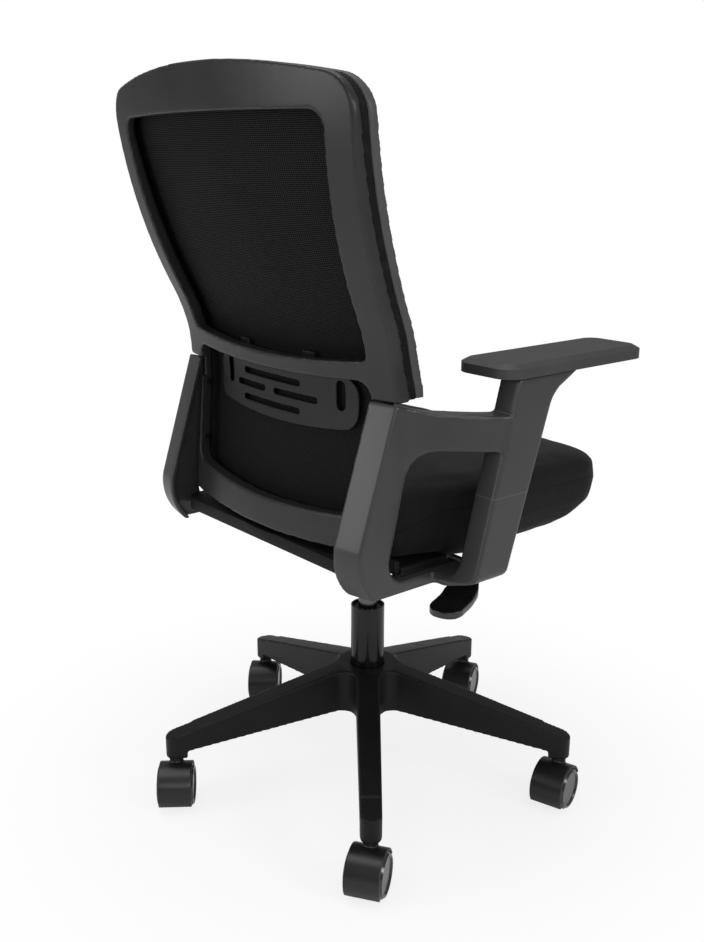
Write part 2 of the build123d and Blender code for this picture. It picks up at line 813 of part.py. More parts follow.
# Height lever
rod_start = Vector(-lever_overhang, 0, lever_start_z + lever_slope * lever_overhang)
rod_plane = Plane(
    origin=lever_plane.from_local_coords(rod_start),
    x_dir=lever_plane.y_dir,
    z_dir=lever_plane.x_dir - Vector(0, 0, lever_slope),
)
rod_length = (lever_length + lever_overhang) * sqrt(1 + lever_slope ** 2)
fulcrum_plane = Plane(
    origin=lever_plane.from_local_coords(Vector(fulcrum_reach, 0, fulcrum_z)),
    x_dir=lever_plane.x_dir,
    z_dir=(0, 0, 1),
)
pin_plane = Plane(origin=fulcrum_plane.origin, x_dir=lever_plane.x_dir, z_dir=lever_plane.y_dir)
with BuildPart() as lever_rod:
    with BuildSketch(rod_plane):
        Circle(lever_rod_diameter / 2)
    extrude(amount=rod_length)
    with BuildSketch(pin_plane):
        Circle(fulcrum_pin_diameter / 2 + running_gap)
    extrude(amount=fulcrum_width, both=True, mode=Mode.SUBTRACT)
save(lever_rod.part, "lever_rod")

with BuildPart() as lever_fulcrum:
    with BuildSketch(fulcrum_plane.offset(-fulcrum_height / 2)):
        RectangleRounded(fulcrum_length, fulcrum_width, fulcrum_corner)
    extrude(amount=fulcrum_height)
    with BuildSketch(rod_plane):
        Circle(lever_rod_diameter / 2 + 2 * joint_gap)
    extrude(amount=rod_length, mode=Mode.SUBTRACT)
    with BuildSketch(pin_plane):
        Circle(fulcrum_pin_diameter / 2 + press_gap)
    extrude(amount=fulcrum_width, both=True, mode=Mode.SUBTRACT)
save(lever_fulcrum.part, "lever_fulcrum")

with BuildPart() as lever_pivot_pin:
    with BuildSketch(pin_plane):
        Circle(fulcrum_pin_diameter / 2)
    extrude(amount=fulcrum_width / 2, both=True)
save(lever_pivot_pin.part, "lever_pivot_pin")

paddle_angle = radians(lever_sweep - paddle_turn)
paddle_way = Vector(-cos(paddle_angle), -sin(paddle_angle), 0)
paddle_origin = lever_plane.from_local_coords(Vector(lever_length - paddle_neck_length, 0, lever_end_z))
paddle_plane = Plane(origin=paddle_origin, x_dir=paddle_way, z_dir=(0, 0, 1))
paddle_side = Plane(origin=paddle_origin, x_dir=paddle_way, z_dir=paddle_way.cross(Vector(0, 0, 1)))
with BuildPart() as lever_paddle:
    with BuildSketch(paddle_plane.offset(-2 * paddle_drop)):
        with BuildLine():
            FilletPolyline(
                (-paddle_neck_width / 2, -paddle_neck_width / 2),
                (paddle_outer_neck, -paddle_neck_width / 2),
                (paddle_outer_blade, -paddle_width / 2),
                (paddle_length, -paddle_width / 2),
                (paddle_length, paddle_width / 2),
                (paddle_inner_blade, paddle_width / 2),
                (paddle_inner_neck, paddle_neck_width / 2),
                (-paddle_neck_width / 2, paddle_neck_width / 2),
                radius=[paddle_neck_corner, *[paddle_corner] * 6, paddle_neck_corner],
                close=True,
            )
        make_face()
    extrude(amount=4 * paddle_drop)
    with BuildSketch(paddle_side):
        with BuildLine():
            neck_half = lever_rod_diameter / 2 + paddle_neck_wall
            blade_top = neck_half - paddle_drop
            tip_top = blade_top - paddle_tip_drop
            tip = paddle_length + paddle_overrun
            FilletPolyline(
                (-paddle_length, neck_half),
                (paddle_slope_start, neck_half),
                (paddle_slope_end, blade_top),
                (tip, tip_top),
                (tip, tip_top - paddle_thickness),
                (paddle_slope_end, blade_top - paddle_thickness),
                (paddle_slope_start, -neck_half),
                (-paddle_length, -neck_half),
                radius=[0, paddle_slope_round, paddle_slope_round, 0] * 2,
                close=True,
            )
        make_face()
    extrude(amount=paddle_width, both=True, mode=Mode.INTERSECT)
    with BuildSketch(rod_plane):
        Circle(lever_rod_diameter / 2 + press_gap)
    extrude(amount=rod_length + press_gap, mode=Mode.SUBTRACT)
save(lever_paddle.part, "lever_paddle")


# Seat board and cushion
def seat_outline(level, side_in, front_in, rear_in):
    """Plan of the seat at one level, drawn in at the sides, the front and the rear."""
    front_x = seat_half_width - side_in
    rear_x = seat_rear_half_width - side_in
    front_y = seat_front + front_in
    rear_y = seat_rear - rear_in
    with BuildSketch(Plane.XY.offset(level)) as outline:
        with BuildLine():
            ThreePointArc((-front_x, front_y), (0, front_y - seat_front_bow), (front_x, front_y))
            Line((front_x, front_y), (front_x, seat_taper_start))
            Line((front_x, seat_taper_start), (rear_x, rear_y))
            ThreePointArc((rear_x, rear_y), (0, rear_y + seat_rear_bow), (-rear_x, rear_y))
            Line((-rear_x, rear_y), (-front_x, seat_taper_start))
            Line((-front_x, seat_taper_start), (-front_x, front_y))
        make_face()
        rounds = ((front_y, seat_corner), (rear_y, seat_rear_corner), (seat_taper_start, seat_corner))
        for corner_y, radius in rounds:
            corners = outline.vertices()
            corners = corners.filter_by_position(Axis.Y, corner_y - cut_margin, corner_y + cut_margin)
            fillet(corners, radius)
    return outline.sketch


with BuildPart() as seat_board:
    add(seat_outline(seat_base, board_inset, board_front_inset, board_inset))
    extrude(amount=board_thickness)
    with BuildSketch(Plane.XY.offset(seat_base)):
        with BuildLine():
            ThreePointArc(
                (board_tail_half_width, seat_rear),
                (0, seat_rear + seat_rear_bow + board_tail),
                (-board_tail_half_width, seat_rear),
            )
            Polyline(
                (-board_tail_half_width, seat_rear),
                (-board_tail_half_width, seat_taper_start),
                (board_tail_half_width, seat_taper_start),
                (board_tail_half_width, seat_rear),
            )
        make_face()
    extrude(amount=board_thickness)
    with BuildSketch(Plane.XY.offset(seat_base)):
        with Locations(*plate_bolts, *arm_bolt_places):
            Circle(bolt_diameter / 2 + press_gap)
    extrude(amount=bolt_grip, mode=Mode.SUBTRACT)
save(seat_board.part, "seat_board")

cushion_bottom = board_top + cushion_gap
with BuildPart() as seat_cushion:
    for rise, side_in, front_in, rear_in in cushion_low_profile:
        add(seat_outline(cushion_bottom + rise, side_in, front_in, rear_in))
    for drop, side_in, front_in, rear_in in cushion_high_profile:
        add(seat_outline(cushion_bottom + cushion_height - drop, side_in, front_in, rear_in))
    loft(ruled=True)
save(seat_cushion.part, "seat_cushion")

# Back: layers of one curved shell, all turned about the same upright axis
back_axis_y = back_waist_y - back_plan_radius
back_axis = Axis((0, back_axis_y, 0), (0, 0, 1))
through = 2 * back_plan_radius


def turned_plane(half_angle):
    """Upright plane through the back's axis, turned to the left by half of a sweep."""
    turn = radians(half_angle)
    return Plane(
        origin=(0, back_axis_y, 0),
        x_dir=(sin(turn), cos(turn), 0),
        z_dir=(cos(turn), -sin(turn), 0),
    )


def back_layer(near, far):
    """Part of the back's shell between two depths in front of its rear face, thinner towards the crown."""
    with BuildPart() as layer:
        with BuildSketch(turned_plane(back_sweep)):
            with BuildLine():
                ends = []
                for depth in (near, far):
                    base = -depth - back_axis_y
                    low = (back_low_y + base, seat_base + back_low_height)
                    waist = (back_waist_y + base, seat_base + back_waist_height)
                    shoulder = (back_shoulder_y + base, seat_base + back_shoulder_height)
                    taper = back_crown_taper * min(depth, frame_depth) / frame_depth
                    crown = (back_crown_y + base + taper, seat_base + back_crown_height)
                    foot = Line(low, waist)
                    belly = TangentArc(waist, shoulder, tangent=foot % 1)
                    TangentArc(shoulder, crown, tangent=belly % 1)
                    ends.append((low, crown))
                Line(ends[0][0], ends[1][0])
                Line(ends[0][1], ends[1][1])
            make_face()
        revolve(axis=back_axis, revolution_arc=2 * back_sweep)
    return layer.part


def back_outline(inset, bottom, sag):
    """Prism of the back's front view above a bottom edge, drawn in by an inset."""
    top = seat_base + back_top - inset
    top_x = back_top_half_width - inset
    top_z = top - back_top_drop
    upper = (back_upper_half_width - inset, seat_base + back_upper_height)
    waist = (back_waist_half_width - inset, seat_base + back_waist_level)
    step = (back_step_half_width - inset, seat_base + back_step_height + inset)
    stile = (back_stile_half_width - inset, seat_base + back_step_height + inset)
    foot = (back_low_half_width - inset, seat_base + bottom)
    with BuildPart() as prism:
        with BuildSketch(Plane.XZ):
            with BuildLine():
                ThreePointArc((-top_x, top_z), (0, top), (top_x, top_z))
                for side in (1, -1):
                    points = [(top_x, top_z), upper, waist, step, stile, foot]
                    rounds = [back_shoulder_round, back_waist_round, back_step_round, back_step_round]
                    FilletPolyline(*[(side * x, z) for x, z in points], radius=rounds)
                ThreePointArc(foot, (0, seat_base + bottom - sag), (-foot[0], foot[1]))
            make_face()
        extrude(amount=through, both=True)
        corners = prism.edges().filter_by(Axis.Y)
        corners = corners.filter_by_position(Axis.Z, top_z - cut_margin, top_z + cut_margin)
        fillet(corners, back_corner - inset)
    return prism.part


def back_window(top, bottom, top_x, bottom_x, top_sag, bottom_sag, high_corner, low_corner):
    """Prism of one window, its top and bottom edges drooping towards the middle."""
    top_z = seat_base + top
    bottom_z = seat_base + bottom
    with BuildPart() as prism:
        with BuildSketch(Plane.XZ):
            with BuildLine():
                ThreePointArc((-top_x, top_z), (0, top_z - top_sag), (top_x, top_z))
                ThreePointArc((-bottom_x, bottom_z), (0, bottom_z - bottom_sag), (bottom_x, bottom_z))
                Line((top_x, top_z), (bottom_x, bottom_z))
                Line((-top_x, top_z), (-bottom_x, bottom_z))
            make_face()
        extrude(amount=through, both=True)
        for corner_z, radius in ((top_z, high_corner), (bottom_z, low_corner)):
            corners = prism.edges().filter_by(Axis.Y)
            corners = corners.filter_by_position(Axis.Z, corner_z - cut_margin, corner_z + cut_margin)
            fillet(corners, radius)
    return prism.part


upper_window = back_window(
    upper_window_top, upper_window_bottom, upper_window_top_half_width, upper_window_bottom_half_width,
    -upper_window_top_rise, upper_bar_sag, upper_window_high_corner, upper_window_low_corner,
)
lower_window = back_window(
    lower_window_top, lower_window_bottom, lower_window_top_half_width, lower_window_bottom_half_width,
    lower_bar_sag, foot_bar_sag, lower_window_corner, lower_window_corner,
)
bolt_depth = (frame_depth + stile_recess) / 2 - joint_gap
back_bolt_levels = (back_waist_height, back_waist_height - back_bolt_spacing)


def back_bolt_plane(level):
    """Plane across the chair through a back bolt at one height above the seat board."""
    lean = (back_low_y - back_waist_y) / (back_waist_height - back_low_height)
    middle_y = back_waist_y + lean * (back_waist_height - level) - bolt_depth
    radius = middle_y - back_axis_y
    side_y = back_axis_y + sqrt(radius ** 2 - back_low_half_width ** 2)
    return Plane(origin=(0, side_y, seat_base + level), x_dir=(0, 1, 0), z_dir=(1, 0, 0))


with BuildPart() as stile_cut:
    add(back_layer(-cut_margin, stile_recess))
    with BuildSketch(Plane.XZ):
        for side in (1, -1):
            with Locations((side * stile_lip_start, seat_base + back_step_height)):
                corner = Align.MIN if side > 0 else Align.MAX
                Rectangle(back_stile_half_width, back_step_height, align=(corner, Align.MAX))
    extrude(amount=through, both=True, mode=Mode.INTERSECT)

with BuildPart() as back_frame:
    add(back_layer(0, frame_depth))
    add(back_outline(0, back_bottom, back_bottom_sag), mode=Mode.INTERSECT)
    add(upper_window, mode=Mode.SUBTRACT)
    add(lower_window, mode=Mode.SUBTRACT)
    add(stile_cut.part, mode=Mode.SUBTRACT)
    for level in back_bolt_levels:
        with BuildSketch(back_bolt_plane(level)):
            Circle(back_bolt_diameter / 2 + press_gap)
        extrude(amount=through, both=True, mode=Mode.SUBTRACT)
save(back_frame.part, "back_frame")

with BuildPart() as back_bolts:
    for level in back_bolt_levels:
        share = (level - lower_window_bottom) / (lower_window_top - lower_window_bottom)
        spread = lower_window_top_half_width - lower_window_bottom_half_width
        inner_face = lower_window_bottom_half_width + spread * share - joint_gap
        bolt_end = back_stile_half_width + back_bolt_reach
        for side in (1, -1):
            with BuildSketch(back_bolt_plane(level).offset(side * (inner_face - back_bolt_diameter))):
                Circle(back_bolt_head / 2)
            extrude(amount=side * back_bolt_diameter)
            with BuildSketch(back_bolt_plane(level).offset(side * inner_face)):
                Circle(back_bolt_diameter / 2)
            extrude(amount=side * (bolt_end - inner_face))
save(back_bolts.part, "back_bolts")

# Mesh frame and mesh, in front of the back frame
mesh_frame_rear = frame_depth + mesh_frame_gap
mesh_rear = mesh_frame_rear + mesh_frame_depth
ring_inset = mesh_frame_margin + mesh_frame_width
with BuildPart() as mesh_frame:
    add(back_layer(mesh_frame_rear, mesh_rear))
    add(back_outline(mesh_frame_margin, mesh_frame_bottom, back_bottom_sag), mode=Mode.INTERSECT)
    ring_bottom = mesh_frame_bottom + mesh_frame_width
    add(back_outline(ring_inset, ring_bottom, back_bottom_sag), mode=Mode.SUBTRACT)
save(mesh_frame.part, "mesh_frame")

with BuildPart() as back_mesh:
    add(back_layer(mesh_rear, mesh_rear + mesh_thickness))
    add(back_outline(mesh_frame_margin, mesh_frame_bottom, back_bottom_sag), mode=Mode.INTERSECT)
save(back_mesh.part, "back_mesh")

# Trim that clips over the edge of the mesh, from one arm over the top to the other
rim_rear = mesh_rear + mesh_thickness + mesh_rim_gap
rim_inset = mesh_rim_margin + mesh_rim_width
with BuildPart() as mesh_rim:
    add(back_layer(rim_rear, rim_rear + mesh_rim_depth))
    add(back_outline(mesh_rim_margin, mesh_frame_bottom, back_bottom_sag), mode=Mode.INTERSECT)
    add(back_outline(rim_inset, mesh_frame_bottom, back_bottom_sag), mode=Mode.SUBTRACT)
    split(bisect_by=Plane.XY.offset(seat_base + back_step_height + mesh_rim_end_gap))
save(mesh_rim.part, "mesh_rim")

# Lumbar support: a slotted plate with two tongues that run in guides on the middle bar
lumbar_rear = frame_depth + lumbar_gap
with BuildPart() as lumbar_support:
    add(back_layer(lumbar_rear, lumbar_rear + lumbar_thickness))
    with BuildSketch(Plane.XZ) as lumbar_face:
        with BuildLine():
            Polyline(
                (-lumbar_half_width, seat_base + lumbar_bottom),
                (-lumbar_half_width, seat_base + lumbar_top),
                (lumbar_half_width, seat_base + lumbar_top),
                (lumbar_half_width, seat_base + lumbar_bottom),
            )
            ThreePointArc(
                (lumbar_half_width, seat_base + lumbar_bottom),
                (0, seat_base + lumbar_bottom - lumbar_sag),
                (-lumbar_half_width, seat_base + lumbar_bottom),
            )
        make_face()
        fillet(lumbar_face.vertices(), lumbar_corner)
        for side in (1, -1):
            with Locations((side * tongue_x, seat_base + tongue_top)):
                tongue_length = tongue_top - lumbar_top + lumbar_corner
                Rectangle(tongue_width, tongue_length, align=(Align.CENTER, Align.MAX))
            with Locations((side * lumbar_hole_x, seat_base + lumbar_hole_level)):
                SlotOverall(lumbar_hole_height, lumbar_hole_width, rotation=90, mode=Mode.SUBTRACT)
        for rise, first, last in lumbar_slots:
            slot_z = seat_base + lumbar_bottom - lumbar_sag + rise
            with Locations(((first + last) / 2, slot_z)):
                SlotOverall(last - first, lumbar_slot, mode=Mode.SUBTRACT)
    extrude(amount=through, both=True, mode=Mode.INTERSECT)
save(lumbar_support.part, "lumbar_support")

guide_front = mesh_rear - seam_gap
tunnel_half = tongue_width / 2 + tongue_gap
guide_level = seat_base + guide_bottom


def guide_band(near, far, half_width):
    """Two blocks of one width, standing off the middle bar between two depths."""
    with BuildPart() as band:
        add(back_layer(near, far))
        with BuildSketch(Plane.XZ):
            with Locations((tongue_x, guide_level), (-tongue_x, guide_level)):
                Rectangle(2 * half_width, guide_height, align=(Align.CENTER, Align.MIN))
        extrude(amount=through, both=True, mode=Mode.INTERSECT)
    return band.part


with BuildPart() as lumbar_guides:
    add(guide_band(frame_depth, guide_front, tunnel_half + guide_wall))
    add(guide_band(frame_depth - cut_margin, guide_front - guide_strip, tunnel_half), mode=Mode.SUBTRACT)
save(lumbar_guides.part, "lumbar_guides")


# Arms: the left one is drawn and the right one mirrored
def arm_rear_layer(near, far):
    """Shell of the arm's rear surface between two depths, turned about the back's axis."""
    high_lean = (arm_rear_bulge_y - arm_rear_top_y) / (arm_top - arm_rear_bulge_height)
    over = pad_rise - arm_top + cut_margin
    with BuildPart() as layer:
        with BuildSketch(turned_plane(arm_sweep)):
            with BuildLine():
                ends = []
                for depth in (near, far):
                    base = -depth - back_axis_y
                    high = (arm_rear_top_y - high_lean * over + base, seat_base + arm_top + over)
                    bulge = (arm_rear_bulge_y + base, seat_base + arm_rear_bulge_height)
                    turn = (arm_rear_turn_y + base, seat_base + arm_rear_turn_height)
                    foot = (arm_rear_foot_y + base, seat_base + arm_bottom - cut_margin)
                    Line(high, bulge)
                    ThreePointArc(bulge, turn, foot)
                    ends.append((high, foot))
                Line(ends[0][0], ends[1][0])
                Line(ends[0][1], ends[1][1])
            make_face()
        revolve(axis=back_axis, revolution_arc=2 * arm_sweep)
    return layer.part


arm_reach = 2 * arm_front_x
arm_inner_rear = arm_rear_x - arm_rear_wall
arm_inner_front = arm_front_x - arm_front_wall
foot_bar_top = arm_bottom + arm_foot_bar
bar_front = arm_flare_end - arm_bar_overlap
foot_bar_front = (post_front_low + post_rear_low) / 2
lip_start = stile_lip_start + seam_gap

# Plan of the upright and the bars: straight low down, flared outwards above
with BuildPart() as arm_plan:
    with BuildSketch(Plane.XY.offset(seat_base + arm_bottom - cut_margin)):
        with Locations((arm_inner_rear, 0)):
            Rectangle(arm_rear_wall, 2 * arm_reach, align=(Align.MIN, Align.CENTER))
    extrude(amount=arm_straight_height - arm_bottom + cut_margin)
    with BuildSketch(Plane.XY.offset(seat_base + arm_straight_height)):
        with BuildLine():
            FilletPolyline(
                (arm_inner_rear, arm_reach),
                (arm_rear_x, arm_reach),
                (arm_rear_x, arm_flare_start),
                (arm_front_x, arm_flare_end),
                (arm_front_x, -arm_reach),
                (arm_inner_front, -arm_reach),
                (arm_inner_front, arm_flare_end - arm_flare_shift),
                (arm_inner_rear, arm_flare_start - arm_flare_shift),
                radius=[
                    0,
                    0,
                    arm_flare_start_round,
                    arm_flare_end_round,
                    0,
                    0,
                    arm_flare_end_round,
                    arm_flare_start_round,
                ],
                close=True,
            )
        make_face()
    extrude(amount=pad_rise - arm_straight_height)

with BuildPart() as arm_loop:
    add(arm_rear_layer(0, arm_reach))
    with BuildSketch(Plane.YZ):
        with BuildLine():
            FilletPolyline(
                (bar_front, seat_base + arm_bar_front_height),
                (arm_bar_turn, seat_base + arm_bar_height),
                (arm_top_turn, seat_base + arm_top),
                (arm_reach, seat_base + arm_top),
                (arm_reach, seat_base + arm_bottom),
                (foot_bar_front, seat_base + arm_bottom),
                (foot_bar_front, seat_base + foot_bar_top),
                (window_rear_low, seat_base + foot_bar_top),
                (window_rear_high, seat_base + window_high),
                (bar_front, seat_base + window_high),
                radius=[
                    0,
                    arm_bar_round,
                    arm_bar_round,
                    0,
                    0,
                    0,
                    0,
                    window_rear_low_round,
                    window_rear_high_round,
                    0,
                ],
                close=True,
            )
        make_face()
    extrude(amount=arm_reach, both=True, mode=Mode.INTERSECT)
    add(arm_plan.part, mode=Mode.INTERSECT)

with BuildPart() as arm_post:
    with BuildSketch(Plane.XZ):
        with BuildLine():
            FilletPolyline(
                (arm_inner_rear, seat_base + arm_bottom),
                (foot_turn_x, seat_base + arm_bottom),
                (arm_front_x, seat_base + arm_bottom + foot_rise),
                (arm_front_x, seat_base + pad_rise),
                (arm_inner_front, seat_base + pad_rise),
                (arm_inner_front, seat_base + foot_bar_top),
                (arm_inner_rear, seat_base + foot_bar_top),
                radius=[0, foot_turn_round, foot_edge_round, 0, 0, foot_inner_round, 0],
                close=True,
            )
        make_face()
    extrude(amount=arm_reach, both=True)
    with BuildSketch(Plane.YZ):
        with BuildLine():
            FilletPolyline(
                (post_rear_high, seat_base + pad_rise),
                (post_rear_low, seat_base + arm_bottom),
                (post_front_low, seat_base + arm_bottom),
                (post_neck_y, seat_base + post_neck_height),
                (post_top_front, seat_base + pad_rise),
                radius=[0, post_foot_round, post_foot_round, post_neck_round, 0],
                close=True,
            )
        make_face()
    extrude(amount=arm_reach, both=True, mode=Mode.INTERSECT)

with BuildPart() as arm_lip:
    add(arm_rear_layer(0, arm_lip_thickness))
    with BuildSketch(Plane.XZ):
        with Locations((lip_start, seat_base + arm_bottom)):
            lip_width = arm_inner_rear - lip_start + arm_edge
            Rectangle(lip_width, arm_top - arm_bottom, align=(Align.MIN, Align.MIN))
    extrude(amount=through, both=True, mode=Mode.INTERSECT)

with BuildPart() as arm_tab:
    with BuildSketch(Plane.XY.offset(seat_base - arm_tab_thickness)):
        with Locations((arm_tab_reach, arm_tab_front)):
            Rectangle(arm_tab_width, arm_tab_rear - arm_tab_front, align=(Align.MIN, Align.MIN))
    extrude(amount=arm_tab_thickness)

with BuildPart() as arm_left:
    add(arm_loop.part)
    add(arm_post.part)
    add(arm_lip.part)
    add(arm_tab.part)
    with BuildSketch(Plane.XY.offset(seat_base - arm_tab_thickness)):
        with Locations(*arm_bolt_places):
            Circle(bolt_diameter / 2 + press_gap)
    extrude(amount=arm_tab_thickness, mode=Mode.SUBTRACT)
    for level in back_bolt_levels:
        with BuildSketch(back_bolt_plane(level)):
            Circle(back_bolt_diameter / 2 + press_gap)
        extrude(amount=back_stile_half_width + back_bolt_reach + seam_gap, mode=Mode.SUBTRACT)
save(arm_left.part, "arm_frame_left")
save(mirror(arm_left.part, about=Plane.YZ), "arm_frame_right")

# Arm pads
with BuildPart() as arm_pad:
    with BuildSketch(Plane.XY.offset(seat_base + pad_rise)):
        with Locations((arm_front_x - pad_width / 2, pad_rear - pad_length / 2)):
            RectangleRounded(pad_width, pad_length, pad_corner)
    extrude(amount=pad_thickness)
    chamfer(arm_pad.edges().group_by(Axis.Z)[-1], pad_bevel, pad_bevel_width)
save(arm_pad.part, "arm_pad_left")
save(mirror(arm_pad.part, about=Plane.YZ), "arm_pad_right")
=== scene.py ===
# %% [markdown]
# # A swivel office chair, dressed for the studio
#
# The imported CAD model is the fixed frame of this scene: every piece of the chair is already there,
# in metres, with the floor at Z = 0 and the sitter facing -Y. The chair could be modelled afresh by
# eye, but its sizes and joints would drift. So this lesson keeps those places and gives the chair
# what a drawing lacks: broken edges, fabric, grain, light and a camera.

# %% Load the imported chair
import json
from math import cos, pi, radians, sin

import bpy
from mathutils import Matrix, Vector
from mathutils.bvhtree import BVHTree


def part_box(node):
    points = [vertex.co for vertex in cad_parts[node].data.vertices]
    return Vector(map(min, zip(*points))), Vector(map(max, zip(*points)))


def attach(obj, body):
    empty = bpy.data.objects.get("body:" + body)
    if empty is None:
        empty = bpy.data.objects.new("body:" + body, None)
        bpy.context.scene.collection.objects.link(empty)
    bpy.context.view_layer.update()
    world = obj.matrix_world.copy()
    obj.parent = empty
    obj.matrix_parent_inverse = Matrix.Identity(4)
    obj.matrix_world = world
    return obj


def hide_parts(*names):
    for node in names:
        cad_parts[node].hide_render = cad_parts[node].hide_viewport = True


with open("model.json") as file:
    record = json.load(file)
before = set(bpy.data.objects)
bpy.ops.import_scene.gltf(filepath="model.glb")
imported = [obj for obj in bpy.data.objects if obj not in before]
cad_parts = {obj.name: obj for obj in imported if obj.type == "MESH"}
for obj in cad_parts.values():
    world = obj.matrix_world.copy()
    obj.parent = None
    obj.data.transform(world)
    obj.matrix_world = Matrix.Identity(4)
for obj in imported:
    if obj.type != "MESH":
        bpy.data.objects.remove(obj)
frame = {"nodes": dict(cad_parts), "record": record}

nodes = frame["nodes"]
scene = bpy.context.scene
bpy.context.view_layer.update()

# %% [markdown]
# ## The camera
#
# The photograph looks at the chair from behind, from the sitter's right and from a little above.
# A camera could be nudged by eye until the picture fits. This one was worked out from the five
# caster stems, because they stand on one circle and are a firmer guide. The picture is taller than
# it is wide, so the sensor is fitted vertically.

# %% Place the camera
camera_place = Vector((-1.140, 0.982, 0.912))
camera_heading = radians(230.18)
camera_dip = radians(16.07)
camera_roll = radians(0.18)
look = Vector((-sin(camera_heading) * cos(camera_dip),
               cos(camera_heading) * cos(camera_dip),
               -sin(camera_dip)))
camera_data = bpy.data.cameras.new("photo_camera")
camera_data.sensor_fit = "VERTICAL"
camera_data.sensor_height = 36.0
camera_data.lens = 41.45
camera = bpy.data.objects.new("photo_camera", camera_data)
scene.collection.objects.link(camera)
turned = look.to_track_quat("-Z", "Y").to_matrix().to_4x4() @ Matrix.Rotation(camera_roll, 4, "Z")
camera.matrix_world = Matrix.Translation(camera_place) @ turned
scene.camera = camera
print("camera at", [round(v, 3) for v in camera_place])

# %% [markdown]
# ## The floor
#
# The chair stands on a plain pale floor that catches its soft shadow. Strong lamps could make the
# floor white, but they would wash out the chair. So part of the floor's white is its own glow for
# the camera alone: under the chair a share, and further out all of it.

# %% Lay the floor
bpy.ops.object.select_all(action="DESELECT")
bpy.ops.mesh.primitive_plane_add(size=40, location=(0, 0, 0))
floor = bpy.context.object
floor.name = "studio_floor"

floor_paint = bpy.data.materials.new("studio_floor_paint")
floor_paint.use_nodes = True
tree = floor_paint.node_tree
shader = tree.nodes["Principled BSDF"]
shader.inputs["Base Color"].default_value = (0.95, 0.95, 0.95, 1)
shader.inputs["Roughness"].default_value = 0.9
shader.inputs["Specular IOR Level"].default_value = 0.0
glow = tree.nodes.new("ShaderNodeEmission")
glow.inputs["Strength"].default_value = 1.0
place = tree.nodes.new("ShaderNodeTexCoord")
reach = tree.nodes.new("ShaderNodeVectorMath")
reach.operation = "LENGTH"
fade = tree.nodes.new("ShaderNodeMapRange")
fade.interpolation_type = "SMOOTHSTEP"
fade.inputs["From Min"].default_value = 0.3
fade.inputs["From Max"].default_value = 0.75
fade.inputs["To Min"].default_value = 0.8
path = tree.nodes.new("ShaderNodeLightPath")
seen = tree.nodes.new("ShaderNodeMath")
seen.operation = "MULTIPLY"
mix = tree.nodes.new("ShaderNodeMixShader")
tree.links.new(place.outputs["Object"], reach.inputs[0])
tree.links.new(reach.outputs["Value"], fade.inputs["Value"])
tree.links.new(fade.outputs["Result"], seen.inputs[0])
tree.links.new(path.outputs["Is Camera Ray"], seen.inputs[1])
tree.links.new(seen.outputs["Value"], mix.inputs["Fac"])
tree.links.new(shader.outputs["BSDF"], mix.inputs[1])
tree.links.new(glow.outputs["Emission"], mix.inputs[2])
tree.links.new(mix.outputs["Shader"], tree.nodes["Material Output"].inputs["Surface"])
floor.data.materials.append(floor_paint)
print("floor", floor.name)

# %% [markdown]
# ## The world
#
# Around the floor lies a grey world that lights the chair from all sides. One flat grey would leave
# little shape in black plastic, so a ramp makes the world brighter above than below. To the camera
# it is white, like the floor.

# %% Paint the world
world = bpy.data.worlds.new("studio_world")
scene.world = world
world.use_nodes = True
tree = world.node_tree
sky = tree.nodes["Background"]
sky.inputs["Strength"].default_value = 1.0
place = tree.nodes.new("ShaderNodeTexCoord")
split = tree.nodes.new("ShaderNodeSeparateXYZ")
tone = tree.nodes.new("ShaderNodeMapRange")
tone.inputs["From Min"].default_value = -0.3
tone.inputs["From Max"].default_value = 0.9
tone.inputs["To Min"].default_value = 0.1
tone.inputs["To Max"].default_value = 0.5
white = tree.nodes.new("ShaderNodeBackground")
white.inputs["Color"].default_value = (1, 1, 1, 1)
white.inputs["Strength"].default_value = 1.0
path = tree.nodes.new("ShaderNodeLightPath")
mix = tree.nodes.new("ShaderNodeMixShader")
tree.links.new(place.outputs["Generated"], split.inputs["Vector"])
tree.links.new(split.outputs["Z"], tone.inputs["Value"])
tree.links.new(tone.outputs["Result"], sky.inputs["Color"])
tree.links.new(path.outputs["Is Camera Ray"], mix.inputs["Fac"])
tree.links.new(sky.outputs["Background"], mix.inputs[1])
tree.links.new(white.outputs["Background"], mix.inputs[2])
tree.links.new(mix.outputs["Shader"], tree.nodes["World Output"].inputs["Surface"])
print("world", world.name)

# %% [markdown]
# ## The lamps
#
# Black and grey plastic shows its form by soft highlights. One sun would draw hard ones, so there
# are five area lamps: a wide one overhead, two broad ones behind the chair, and two smaller ones
# for its edges and its right side.


# %% Hang the lamps
def soft_lamp(name, place, aim, size, power):
    """One square area lamp that points at a place on the chair."""
    lamp = bpy.data.lights.new(name, "AREA")
    lamp.size = size
    lamp.energy = power
    holder = bpy.data.objects.new(name, lamp)
    scene.collection.objects.link(holder)
    turn = (Vector(aim) - Vector(place)).to_track_quat("-Z", "Y").to_matrix().to_4x4()
    holder.matrix_world = Matrix.Translation(place) @ turn


soft_lamp("overhead_lamp", (0.2, 0.3, 2.8), aim=(0, 0, 0.4), size=2.2, power=30)
soft_lamp("rear_right_lamp", (-2.4, 1.2, 1.7), aim=(0, 0.1, 0.6), size=1.4, power=9)
soft_lamp("rear_left_lamp", (0.9, 2.5, 1.1), aim=(0, 0.1, 0.6), size=1.0, power=14)
soft_lamp("edge_lamp", (-2.3, 2.0, 1.5), aim=(0, 0.1, 0.6), size=0.5, power=10)
soft_lamp("side_lamp", (-2.5, -0.6, 1.5), aim=(0, 0.1, 0.7), size=0.8, power=18)
print("studio lamps", len(bpy.data.lights))

